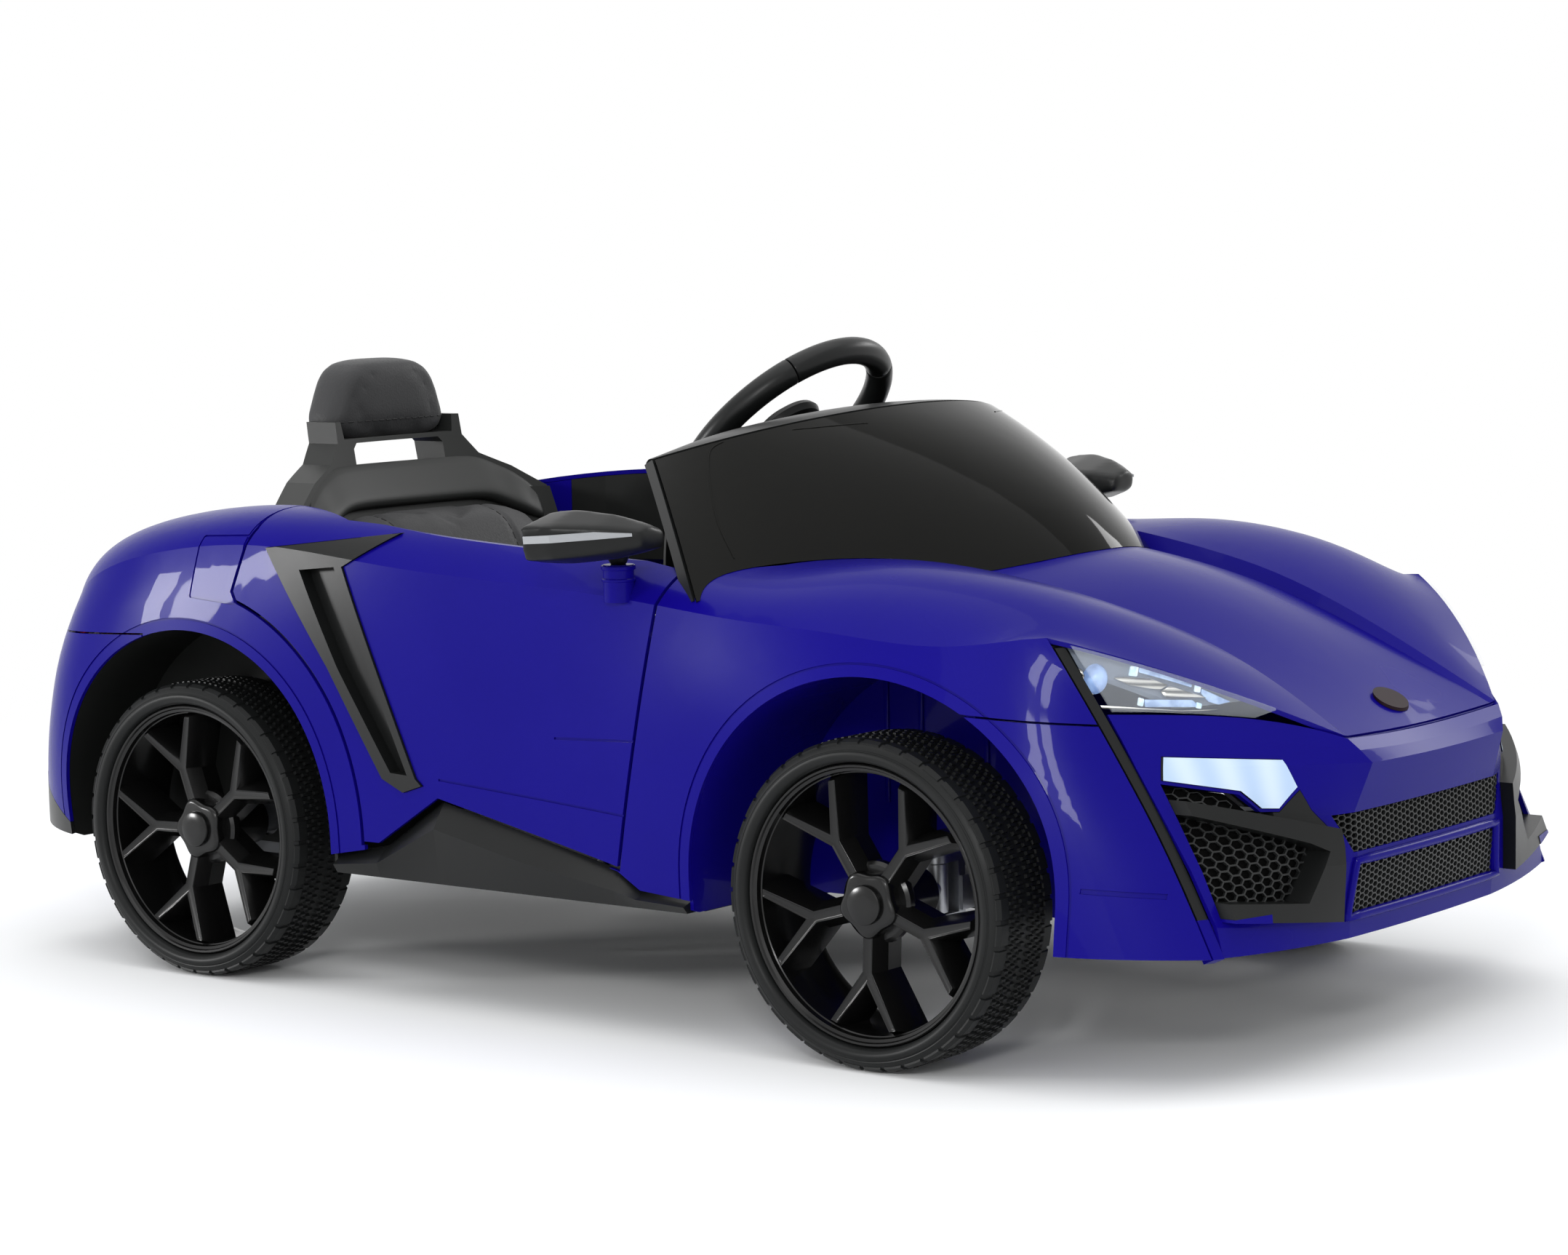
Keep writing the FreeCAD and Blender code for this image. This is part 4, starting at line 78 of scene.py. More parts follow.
class Finish:
    """A material built from one Principled shader and a few expressions."""

    def __init__(self, name, **sockets):
        self.material = bpy.data.materials.new(name)
        self.material.use_nodes = True
        self.tree = self.material.node_tree
        self.shader = self.tree.nodes["Principled BSDF"]
        self.output = self.tree.nodes["Material Output"]
        self.set(**sockets)

    def plug(self, socket, value):
        if isinstance(value, Field):
            self.tree.links.new(value.socket, socket)
        else:
            socket.default_value = value

    def node(self, kind, settings=None, inputs=None, output=0):
        node = self.tree.nodes.new(kind)
        for key, value in (settings or {}).items():
            setattr(node, key, value)
        for key, value in (inputs or {}).items():
            self.plug(node.inputs[key], value)
        return Field(self, node.outputs[output])

    def set(self, **sockets):
        """Values for the shader's sockets; underscores stand for blanks."""
        for name, value in sockets.items():
            self.plug(self.shader.inputs[name.replace("_", " ")], value)
        return self

    def place(self):
        return self.node("ShaderNodeTexCoord", output="Object")

    def xyz(self):
        """The three parts of the place on the piece, in metres."""
        split = self.tree.nodes.new("ShaderNodeSeparateXYZ")
        self.plug(split.inputs[0], self.place())
        return [Field(self, out) for out in split.outputs]

    def noise(self, scale, detail=2.0, rough=0.5):
        inputs = {"Vector": self.place(), "Scale": scale, "Detail": detail, "Roughness": rough}
        return self.node("ShaderNodeTexNoise", None, inputs)

    def cells(self, scale, feature="F1"):
        inputs = {"Vector": self.place(), "Scale": scale}
        return self.node("ShaderNodeTexVoronoi", {"feature": feature}, inputs)

    def spread(self, value, low, high):
        """A 0 to 1 value spread between two numbers."""
        return value * (high - low) + low

    def smooth(self, value, low, high):
        settings = {"interpolation_type": "SMOOTHSTEP"}
        inputs = {"Value": value, "From Min": low, "From Max": high}
        return self.node("ShaderNodeMapRange", settings, inputs)

    def blend(self, factor, first, second):
        """One colour over another by a 0 to 1 value."""
        settings = {"data_type": "RGBA", "clamp_factor": True}
        return self.node("ShaderNodeMix", settings, {0: factor, 6: first, 7: second}, 2)

    def bump(self, height, strength, distance):
        inputs = {"Height": height, "Strength": strength, "Distance": distance}
        self.set(Normal=self.node("ShaderNodeBump", None, inputs))
        return self


def srgb(red, green, blue):
    """A colour written in screen values from 0 to 255."""

    def linear(value):
        share = value / 255
        return share / 12.92 if share <= 0.04045 else ((share + 0.055) / 1.055) ** 2.4

    return (linear(red), linear(green), linear(blue), 1.0)


def plastic(name, colour, roughness, grain_scale, grain_depth, speckle=0.12):
    """Moulded plastic: fine grain, slight colour variation and uneven gloss."""
    finish = Finish(name)
    cloud = finish.noise(14, 3.0)
    grain = finish.noise(grain_scale, 2.0, 0.6)
    darker = tuple(c * (1 - speckle) for c in colour[:3]) + (1.0,)
    lighter = tuple(c * (1 + speckle) for c in colour[:3]) + (1.0,)
    finish.set(Base_Color=finish.blend(cloud, darker, lighter))
    finish.set(Roughness=finish.spread(cloud, roughness - 0.05, roughness + 0.05))
    return finish.bump(grain, 0.35, grain_depth)


BLUE = srgb(17, 8, 121)
BLUE_DEEP = srgb(12, 5, 108)


def paint_finish():
    """Gloss violet-blue moulding: deep colour, thin clear gloss and a faint ripple."""
    finish = Finish(
        "gloss_blue", Coat_Weight=0.07, Coat_Roughness=0.02, Coat_IOR=1.5, Specular_IOR_Level=0.04
    )
    cloud = finish.noise(9, 2.0)
    fleck = finish.noise(2600, 1.0)
    finish.set(Base_Color=finish.blend(cloud * 0.7 + fleck * 0.3, BLUE_DEEP, BLUE))
    finish.set(Roughness=finish.spread(cloud, 0.22, 0.3))
    return finish.bump(finish.noise(260, 1.0), 0.04, 0.2 * MM)


def smoked_finish():
    """Dark tinted acrylic, nearly opaque, with a hard gloss."""
    finish = Finish("smoked_acrylic", Roughness=0.05, Specular_IOR_Level=0.05, Alpha=0.97)
    cloud = finish.noise(5, 2.0)
    finish.set(Roughness=finish.spread(cloud, 0.03, 0.08))
    return finish.set(Base_Color=finish.blend(cloud, srgb(15, 15, 14), srgb(21, 21, 19)))


def clear_finish():
    """Clear lamp cover: mostly see-through, with a hard gloss."""
    finish = Finish("clear_cover", Base_Color=srgb(236, 242, 250), Roughness=0.03, Specular_IOR_Level=0.5)
    haze = finish.noise(30, 2.0)
    finish.set(Roughness=finish.spread(haze, 0.02, 0.06), Alpha=finish.spread(haze, 0.07, 0.11))
    return finish


def metal(name, colour, roughness, scale):
    finish = Finish(name, Metallic=1.0)
    streak = finish.noise(scale, 3.0)
    dull = tuple(c * 0.8 for c in colour[:3]) + (1.0,)
    finish.set(Base_Color=finish.blend(streak, dull, colour))
    finish.set(Roughness=finish.spread(streak, roughness - 0.08, roughness + 0.1))
    return finish.bump(streak, 0.15, 0.1 * MM)


def leatherette_finish():
    """Soft black cover with a fine pebble grain."""
    finish = Finish("leatherette", Sheen_Weight=0.05, Specular_IOR_Level=0.2)
    pebble = finish.cells(620, "SMOOTH_F1")
    cloud = finish.noise(16, 3.0)
    finish.set(Base_Color=finish.blend(cloud, srgb(44, 44, 45), srgb(56, 56, 57)))
    finish.set(Roughness=finish.spread(pebble, 0.46, 0.62))
    return finish.bump(pebble, 0.4, 0.35 * MM)


def tail_finish():
    """Red lamp cover with a ribbed inside, coloured darker red in the rib grooves as painted shade and
    lighter red on the crests as painted highlight.
    """
    finish = Finish("tail_red", Coat_Weight=0.2, Coat_Roughness=0.03, Roughness=0.3, Specular_IOR_Level=0.15)
    x, y, z = finish.xyz()
    rib = (y * 900).calc("SINE", y * 900)
    # The red follows the rib wave: painted shade in the grooves and painted highlight on the crests.
    finish.set(Base_Color=finish.blend(finish.spread(rib, 0.35, 0.65), srgb(96, 4, 6), srgb(150, 10, 12)))
    return finish.bump(rib, 0.4, 0.6 * MM)


def lit_finish():
    """Running lamp: a bluish white front with three bright spots, and dark sides."""
    finish = Finish("running_light", Roughness=0.18, Specular_IOR_Level=0.3)
    x, y, z = finish.xyz()
    spot = abs(y).calc("COSINE", (abs(y) - 162 * MM) * (2 * math.pi / (24 * MM)))
    glow = finish.spread(spot, 0.5, 0.9)
    split = finish.tree.nodes.new("ShaderNodeSeparateXYZ")
    finish.plug(split.inputs[0], finish.node("ShaderNodeNewGeometry", output="Normal"))
    front = finish.smooth(Field(finish, split.outputs[0]), 0.25, 0.45)
    light = finish.blend(glow, srgb(150, 182, 220), srgb(222, 236, 250))
    finish.set(Emission_Color=finish.blend(front, srgb(4, 4, 5), light), Emission_Strength=0.5)
    finish.set(Base_Color=finish.blend(front, srgb(16, 16, 17), srgb(150, 165, 185)))
    return finish.bump(finish.cells(260), 0.1, 0.2 * MM)


def ribbed_finish():
    """Bright lamp strip pressed with fine slanting ribs, coloured darker in the grooves as painted shade and
    lighter on the crests as painted highlight.
    """
    finish = Finish("ribbed_silver", Metallic=1.0, Roughness=0.3)
    x, y, z = finish.xyz()
    slant = x + abs(y) + z * 0.6
    rib = slant.calc("SINE", slant * (2 * math.pi / (2.4 * MM)))
    # The colour follows the rib wave: painted shade in the grooves and painted highlight on the crests.
    rib_light_and_shade = finish.spread(rib, 0.5, 1.0)
    finish.set(Base_Color=finish.blend(rib_light_and_shade, srgb(96, 96, 92), srgb(226, 225, 218)))
    finish.set(Roughness=finish.spread(rib, 0.3, 0.4))
    return finish.bump(rib, 0.5, 0.5 * MM)


def guide_finish(name, colour, edge, strength):
    """Milky light guide with a cloudy glow."""
    finish = Finish(name, Base_Color=srgb(150, 175, 210), Roughness=0.2, Specular_IOR_Level=0.4)
    cloud = finish.noise(130, 2.0)
    mask = finish.smooth(cloud, 0.35, 0.65)
    finish.set(Emission_Color=finish.blend(mask, edge, colour), Emission_Strength=strength)
    finish.set(Roughness=finish.spread(cloud, 0.15, 0.3))
    return finish


PAINT = paint_finish()
BLACK = plastic("satin_black", srgb(19, 20, 20), 0.34, 1700, 0.08 * MM, 0.2)
RIM_BLACK = plastic("wheel_black", srgb(10, 10, 10), 0.2, 1500, 0.03 * MM, 0.25)
TYRE_BLACK = plastic("tread_black", srgb(23, 24, 24), 0.4, 1300, 0.1 * MM, 0.25)
SEAT_BLACK = plastic("seat_black", srgb(36, 37, 36), 0.42, 1700, 0.12 * MM, 0.15)
LINER_BLACK = plastic("lining_black", srgb(22, 23, 22), 0.52, 1300, 0.2 * MM, 0.2)
# The net's black is lighter than the other black plastics as painted highlight. The grille plate behind it is
# near black as painted shade in the holes.
NET_LIT_BLACK = plastic("net_lit_black", srgb(38, 39, 39), 0.36, 1500, 0.05 * MM, 0.2)
GRILLE_SHADE_BLACK = plastic("grille_back_shade", srgb(7, 7, 7), 0.7, 1300, 0.1 * MM, 0.3)
GLOSS_BLACK = plastic("gloss_black", srgb(14, 13, 13), 0.14, 1500, 0.03 * MM, 0.25)
OVAL_BROWN = plastic("oval_brown", srgb(30, 15, 20), 0.5, 1500, 0.04 * MM, 0.25)
GREY = plastic("grey_plastic", srgb(92, 94, 98), 0.45, 1700, 0.1 * MM)
PALE_GREY = plastic("pale_grey", srgb(150, 152, 155), 0.35, 1700, 0.05 * MM, 0.06)
SMOKED = smoked_finish()
CLEAR = clear_finish()
LAMP_GREY = plastic("lamp_grey", srgb(128, 138, 152), 0.26, 900, 0.05 * MM, 0.3)
STEEL = metal("axle_steel", srgb(176, 178, 182), 0.34, 320)
SILVER = ribbed_finish()
MIRROR = Finish("mirror_pane", Metallic=1.0, Base_Color=srgb(214, 218, 222), Roughness=0.03)
MIRROR.set(Roughness=MIRROR.spread(MIRROR.noise(30), 0.015, 0.05))
LEATHER = leatherette_finish()
THREAD = plastic("seam_thread", srgb(20, 20, 21), 0.7, 2600, 0.1 * MM, 0.3)
TAIL_RED = tail_finish()
LIT = lit_finish()
BULB_BLUE = guide_finish("bulb_blue", srgb(150, 185, 245), srgb(70, 105, 180), 0.45)
GUIDE_BLUE = guide_finish("guide_blue", srgb(190, 215, 245), srgb(60, 95, 160), 0.45)
LED_WHITE = guide_finish("led_white", srgb(240, 252, 255), srgb(170, 210, 225), 0.8)
GLOSS = {
    BLACK: 0.22, LINER_BLACK: 0.15, TYRE_BLACK: 0.16, RIM_BLACK: 0.34, NET_LIT_BLACK: 0.3, SEAT_BLACK: 0.25,
    OVAL_BROWN: 0.1, GRILLE_SHADE_BLACK: 0.05,
}
for finish, gloss in GLOSS.items():
    finish.set(Specular_IOR_Level=gloss)

NODE_FINISHES = {
    PAINT: (
        "front_body_shell", "front_bumper", "rear_body_shell", "rear_bumper",
        "door_panel_right", "door_panel_left", "front_wheel_liners",
    ),
    BLACK: (
        "rear_valance", "side_skirts", "dashboard", "intake_frames", "windshield_cap",
        "vent_trim_right", "vent_trim_left", "mirror_housing_right", "mirror_housing_left", "steering_wheel",
        "accelerator_pedal", "gear_lever",
    ),
    LINER_BLACK: (
        "floor_pan", "rear_wheel_liners", "door_liner_right", "door_liner_left", "pedal_bracket",
    ),
    SEAT_BLACK: ("seat_shell",),
    SMOKED: ("windshield",),
    CLEAR: ("headlamp_lenses",),
    GLOSS_BLACK: ("horn_button",),
    LAMP_GREY: ("headlamp_buckets",),
    OVAL_BROWN: ("nose_oval",),
    GRILLE_SHADE_BLACK: ("grille_meshes",),
    LIT: ("running_lamps",),
    TAIL_RED: ("tail_lamps", "power_button"),
    MIRROR: ("mirror_glass_right", "mirror_glass_left"),
    STEEL: (
        "rear_axle", "front_subframe", "door_hinges", "steering_column", "knuckle_right", "knuckle_left",
        "tie_rod", "drive_motors",
    ),
    GREY: ("battery", "control_box", "gearbox_housings", "drive_gear_right", "drive_gear_left"),
    TYRE_BLACK: ("tyre_front_right", "tyre_front_left", "tyre_rear_right", "tyre_rear_left"),
    RIM_BLACK: ("wheel_front_right", "wheel_front_left", "wheel_rear_right", "wheel_rear_left"),
    LEATHER: ("seat_pads",),
}
for finish, names in NODE_FINISHES.items():
    for name in names:
        data = NODES[name].data
        data.materials.clear()
        data.materials.append(finish.material)


# The photograph's camera, the studio and its floor.

CAMERA_PLACE = Vector((1.88615, -2.43799, 0.58538))
CAMERA_TURN = math.radians(37.642)
CAMERA_DIP = math.radians(5.992)
CAMERA_ROLL = math.radians(-1.0488)
FOCAL_SHARE = 5471.84 / 2156
SENSOR = 36.0


def add_camera():
    back = Vector((
        math.sin(CAMERA_TURN) * math.cos(CAMERA_DIP),
        -math.cos(CAMERA_TURN) * math.cos(CAMERA_DIP),
        math.sin(CAMERA_DIP),
    ))
    right = Vector((0, 0, 1)).cross(back).normalized()
    level = back.cross(right)
    cos, sin = math.cos(CAMERA_ROLL), math.sin(CAMERA_ROLL)
    across = right * cos + level * sin
    upward = level * cos - right * sin
    data = bpy.data.cameras.new("photo_camera")
    data.sensor_fit = "HORIZONTAL"
    data.sensor_width = SENSOR
    data.lens = FOCAL_SHARE * SENSOR
    data.clip_start = 0.05
    data.clip_end = 100
    camera = bpy.data.objects.new("photo_camera", data)
    turn = Matrix((across, upward, back)).transposed().to_4x4()
    camera.matrix_world = Matrix.Translation(CAMERA_PLACE) @ turn
    bpy.context.scene.collection.objects.link(camera)
    bpy.context.scene.camera = camera


def add_lamp(name, place, aim, size, watts):
    data = bpy.data.lights.new(name, "AREA")
    data.shape = "RECTANGLE"
    data.size, data.size_y = size
    data.energy = watts
    lamp = bpy.data.objects.new(name, data)
    lamp.location = place
    lamp.rotation_euler = (Vector(aim) - Vector(place)).to_track_quat("-Z", "Y").to_euler()
    bpy.context.scene.collection.objects.link(lamp)


def seen_directly(nodes, links):
    """1 on rays from the eye, from a gloss or through a clear cover, else 0."""
    path = nodes.new("ShaderNodeLightPath")
    total = path.outputs["Is Camera Ray"]
    for kind in ("Is Glossy Ray", "Is Transmission Ray"):
        either = nodes.new("ShaderNodeMath")
        either.operation = "MAXIMUM"
        links.new(total, either.inputs[0])
        links.new(path.outputs[kind], either.inputs[1])
        total = either.outputs[0]
    return total


def add_world():
    """An even grey room for the object, and plain white where the eye or a gloss sees past it."""
    world = bpy.data.worlds.new("studio")
    world.use_nodes = True
    bpy.context.scene.world = world
    nodes, links = world.node_tree.nodes, world.node_tree.links
    room = nodes["Background"]
    room.inputs["Color"].default_value = (0.96, 0.98, 1.0, 1.0)
    room.inputs["Strength"].default_value = 0.78
    white = nodes.new("ShaderNodeBackground")
    white.inputs["Color"].default_value = (1, 1, 1, 1)
    mix = nodes.new("ShaderNodeMixShader")
    links.new(seen_directly(nodes, links), mix.inputs[0])
    links.new(room.outputs[0], mix.inputs[1])
    links.new(white.outputs[0], mix.inputs[2])
    links.new(mix.outputs[0], nodes["World Output"].inputs["Surface"])


FLOOR_HALF = 12.0
FLOOR_NEAR = 0.9
FLOOR_FAR = 1.9


def add_floor():
    """A pale floor that holds the shadow and turns plain white away from the car."""
    shape = bmesh.new()
    bmesh.ops.create_grid(shape, x_segments=1, y_segments=1, size=FLOOR_HALF)
    mesh = bpy.data.meshes.new("studio_floor")
    shape.to_mesh(mesh)
    shape.free()
    floor = bpy.data.objects.new("studio_floor", mesh)
    bpy.context.scene.collection.objects.link(floor)
    finish = Finish("pale_floor", Roughness=0.8, Specular_IOR_Level=0.0)
    finish.set(Base_Color=finish.blend(finish.noise(3), srgb(248, 248, 248), srgb(252, 252, 252)))
    x, y, z = finish.xyz()
    away = (x * x + y * y).calc("SQRT", x * x + y * y)
    nodes, links = finish.tree.nodes, finish.tree.links
    seen = Field(finish, seen_directly(nodes, links))
    white = finish.node("ShaderNodeEmission", None, {"Strength": 1.0})
    plain = Field(finish, finish.shader.outputs[0])
    share = finish.smooth(away, FLOOR_NEAR, FLOOR_FAR) * seen
    mixed = finish.node("ShaderNodeMixShader", None, {0: share, 1: plain, 2: white})
    links.new(mixed.socket, finish.output.inputs["Surface"])
    mesh.materials.append(finish.material)


add_camera()
add_world()
add_floor()
add_lamp("top_softbox", (0.1, -0.2, 2.8), (0.05, 0, 0.2), (4.0, 3.4), 44)
add_lamp("side_softbox", (1.0, -3.5, 1.3), (0.05, 0, 0.25), (2.6, 1.8), 14)
add_lamp("window_rear", (-4.4, -4.4, 1.05), (-0.1, -0.3, 0.3), (0.46, 0.62), 70)
add_lamp("window_rear_pane", (-4.78, -4.0, 1.05), (-0.1, -0.3, 0.3), (0.4, 0.62), 60)
add_lamp("window_front", (1.75, -2.75, 1.4), (0.4, -0.25, 0.25), (0.24, 0.34), 12)
add_lamp("window_front_pane", (2.05, -2.6, 1.42), (0.4, -0.25, 0.25), (0.2, 0.34), 10)
add_lamp("window_far", (1.1, 4.3, 2.3), (0.5, 0, 0.22), (2.2, 0.8), 38)
bpy.context.scene.view_settings.view_transform = "Standard"


# Making pieces.


def kept_mesh(name, shape):
    """A bmesh turned into a mesh."""
    mesh = bpy.data.meshes.new(name)
    shape.to_mesh(mesh)
    shape.free()
    return mesh


def shape_of(mesh):
    """A mesh turned into a bmesh."""
    shape = bmesh.new()
    shape.from_mesh(mesh)
    return shape


def finished(name, shape, finish, body, replaces=(), angle=32):
    """Turns a bmesh into a piece that rides on a body."""
    shape.normal_update()
    mesh = kept_mesh(name, shape)
    for polygon in mesh.polygons:
        polygon.use_smooth = True
    mesh.set_sharp_from_angle(angle=math.radians(angle))
    for one in finish if isinstance(finish, (list, tuple)) else [finish]:
        mesh.materials.append(one.material)
    piece = bpy.data.objects.new(name, mesh)
    bpy.context.scene.collection.objects.link(piece)
    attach(piece, body)
    if replaces:
        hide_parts(*replaces)
    return piece


def tidy(shape, distance=0.01 * MM):
    """Merges doubles and turns the faces outwards."""
    bmesh.ops.remove_doubles(shape, verts=shape.verts, dist=distance)
    bmesh.ops.recalc_face_normals(shape, faces=shape.faces)


def spun(shape, profile, steps, closed=False):
    """A ring about the Y axis from radius and width points in millimetres."""
    verts = [shape.verts.new((0, w * MM, r * MM)) for r, w in profile]
    pairs = list(zip(verts, verts[1:] + verts[:1] if closed else verts[1:]))
    edges = [shape.edges.new(ends) for ends in pairs]
    bmesh.ops.spin(
        shape, geom=verts + edges, cent=(0, 0, 0), axis=(0, 1, 0), angle=2 * math.pi, steps=steps,
        use_merge=True,
    )


def moved(shape, verts, matrix):
    bmesh.ops.transform(shape, matrix=matrix, verts=verts)


def raised(shape, face, height):
    """Extrudes a flat face and gives back its moved copy and that copy's corners."""
    out = bmesh.ops.extrude_face_region(shape, geom=[face])["geom"]
    corners = [g for g in out if isinstance(g, bmesh.types.BMVert)]
    top = [g for g in out if isinstance(g, bmesh.types.BMFace)]
    bmesh.ops.translate(shape, vec=height, verts=corners)
    return top[0], corners


def softened(shape, edges, width, segments=2):
    bmesh.ops.bevel(
        shape, geom=edges, offset=width * MM, affect="EDGES", segments=segments, profile=0.5, material=-1,
        clamp_overlap=True,
    )


def block(outline, height, edge):
    """A flat plate of millimetre corners, standing on its plane, with softened edges."""
    shape = bmesh.new()
    base = shape.faces.new([shape.verts.new((u * MM, v * MM, 0)) for u, v in outline])
    raised(shape, base, (0, 0, height * MM))
    bmesh.ops.recalc_face_normals(shape, faces=shape.faces)
    softened(shape, list(shape.edges), edge)
    return shape


def placed(shape, matrix, side):
    """Sets a right-hand shape in its place and mirrors it for the left."""
    moved(shape, shape.verts, matrix)
    if side > 0:
        moved(shape, shape.verts, Matrix.Diagonal((1, -1, 1, 1)))
    bmesh.ops.recalc_face_normals(shape, faces=shape.faces)
    return shape


def merged(shapes):
    """Several bmeshes as one."""
    whole = shapes[0]
    for shape in shapes[1:]:
        mesh = kept_mesh("merging", shape)
        whole.from_mesh(mesh)
        bpy.data.meshes.remove(mesh)
    return whole


def surface(*names):
    """The faces of CAD nodes, for laying pieces on them."""
    corners, faces = [], []
    for name in names:
        data = NODES[name].data
        start = len(corners)
        corners += [vert.co.copy() for vert in data.vertices]
        faces += [tuple(start + index for index in polygon.vertices) for polygon in data.polygons]
    return BVHTree.FromPolygons(corners, faces)


def threads(lines, radius, closed=False):
    """One bmesh holding a round thread along each line of points."""
    curve = bpy.data.curves.new("thread_path", "CURVE")
    curve.dimensions = "3D"
    curve.bevel_depth = radius * MM
    curve.bevel_resolution = 2
    curve.use_fill_caps = not closed
    for points in lines:
        spline = curve.splines.new("POLY")
        spline.points.add(len(points) - 1)
        for point, place in zip(spline.points, points):
            point.co = (*place, 1)
        spline.use_cyclic_u = closed
    holder = bpy.data.objects.new("thread_path", curve)
    bpy.context.scene.collection.objects.link(holder)
    mesh = bpy.data.meshes.new_from_object(holder.evaluated_get(bpy.context.evaluated_depsgraph_get()))
    bpy.data.objects.remove(holder)
    bpy.data.curves.remove(curve)
    shape = shape_of(mesh)
    bpy.data.meshes.remove(mesh)
    tidy(shape)
    return shape


def eased(points, passes):
    """A line of points with its corners evened out and its ends kept."""
    for turn in range(passes):
        inner = [(a + b * 2 + c) / 4 for a, b, c in zip(points, points[1:], points[2:])]
        points = points[:1] + inner + points[-1:]
    return points


def applied(holder):
    """The mesh of an object with its modifiers worked in."""
    bpy.context.view_layer.update()
    return bpy.data.meshes.new_from_object(holder.evaluated_get(bpy.context.evaluated_depsgraph_get()))


def held(name, mesh):
    """A mesh on a passing object, for modifiers."""
    holder = bpy.data.objects.new(name, mesh)
    bpy.context.scene.collection.objects.link(holder)
    return holder


def dropped(holder):
    mesh = holder.data
    bpy.data.objects.remove(holder)
    bpy.data.meshes.remove(mesh)


def remeshed(name, mesh, voxel, passes, shrink):
    """An even mesh of a closed form, smoothed and drawn in a little."""
    holder = held(name, mesh)
    remesh = holder.modifiers.new("even_faces", "REMESH")
    remesh.mode = "VOXEL"
    remesh.voxel_size = voxel * MM
    even = applied(holder)
    dropped(holder)
    shape = shape_of(even)
    for turn in range(passes):
        bmesh.ops.smooth_vert(
            shape, verts=shape.verts, factor=0.5, use_axis_x=True, use_axis_y=True, use_axis_z=True
        )
    shape.normal_update()
    for vert in shape.verts:
        vert.co -= vert.normal * shrink * MM
    shape.to_mesh(even)
    shape.free()
    return even


def finer(name, mesh):
    """A mesh subdivided once."""
    holder = held(name, mesh)
    smooth = holder.modifiers.new("finer", "SUBSURF")
    smooth.levels = smooth.render_levels = 1
    fine = applied(holder)
    dropped(holder)
    return fine


# Wheels, drawn about the origin with the outside towards +Y and then set on their axles.

WHEEL_Y = 266.5
AXLES = {"front": 298, "rear": -348}
AXLE_Z = 115


def on_axle(shape, row, out):
    """Turns a wheel's outside to its side of the car and sets it on its axle."""
    turn = Matrix.Rotation(math.pi, 4, "Z") if out < 0 else Matrix.Identity(4)
    spot = Vector((AXLES[row], out * WHEEL_Y, AXLE_Z)) * MM
    moved(shape, shape.verts, Matrix.Translation(spot) @ turn)


TREAD_STEPS = 240
TREAD_BASE = 112.7
# Blocks stand only on faces whose middle lies outside this radius.
BLOCK_LOW = 109.5
# Edges of the rows of blocks, across the tread.
ROW_EDGES = [29.5, 22, 21, 15.5, 14.5, 9, 8, 2.5, -2.5, -8, -9, -14.5, -15.5, -21, -22, -29.5]
# Radius and width of the tyre from the outer bead over sidewall and tread to the inner bead.
TYRE_PROFILE = [
    (97.6, 29.5), (98.4, 33.4), (99.8, 35.4), (102, 36.4), (104.6, 36.5), (105.6, 36.0), (106.0, 35.2),
    (106.6, 34.9), (107.2, 35.1), (108.8, 34.4), (110.6, 32.8),
    *((TREAD_BASE, width) for width in ROW_EDGES),
    (110.6, -32.8), (108.6, -34.2), (106.2, -34.8), (103, -36.0), (99, -35.4), (97.6, -29.5),
]
# Rows of tread blocks: width range, steps in a block, steps in a repeat, shift, height.
BLOCK_ROWS = [
    (21, 31.4, 5, 6, 0, 1.3), (15.5, 21, 1, 2, 1, 2.2), (9, 14.5, 1, 2, 0, 2.2), (2.5, 8, 1, 2, 1, 2.2),
    (-8, -2.5, 1, 2, 0, 2.2), (-14.5, -9, 1, 2, 1, 2.2), (-21, -15.5, 1, 2, 0, 2.2),
    (-31.4, -21, 5, 6, 3, 1.3),
]


def tyre_form():
    shape = bmesh.new()
    spun(shape, TYRE_PROFILE, TREAD_STEPS)
    tidy(shape)
    step = 2 * math.pi / TREAD_STEPS
    rows = [[] for row in BLOCK_ROWS]
    for face in shape.faces:
        middle = face.calc_center_median()
        index = int((math.atan2(middle.x, middle.z) % (2 * math.pi)) / step)
        radius = math.hypot(middle.x, middle.z) / MM
        for faces, (low, high, wide, repeat, shift, height) in zip(rows, BLOCK_ROWS):
            if low < middle.y / MM < high and (index + shift) % repeat < wide and radius > BLOCK_LOW:
                faces.append(face)
    for faces, (*place, height) in zip(rows, BLOCK_ROWS):
        bmesh.ops.inset_region(
            shape, faces=faces, thickness=0.5 * MM, depth=height * MM, use_even_offset=True, use_boundary=True
        )
    return kept_mesh("tyre_form", shape)


def tyre(form, row, side, out):
    shape = shape_of(form)
    on_axle(shape, row, out)
    name = f"tyre_{row}_{side}"
    return finished(f"tread_{row}_{side}", shape, TYRE_BLACK, f"{row}_wheel_{side}", (name,))


RIM_STEPS = 120
RIM_PROFILE = [
    (91.2, -31), (92.6, -31.5), (96.6, -31.5), (97.3, -30.6), (97.3, 29.6), (97.1, 31.2), (96.2, 32.0),
    (94.8, 31.8), (94.0, 30.4), (93.2, 30.0), (92.0, 29.4), (91.2, 26), (90.4, 25.4), (89.0, 14), (88.4, 9),
    (88.4, -20), (90.4, -29),
]
SPOKES = 5
SPOKE_TURNS = {"front": 34, "rear": 20}
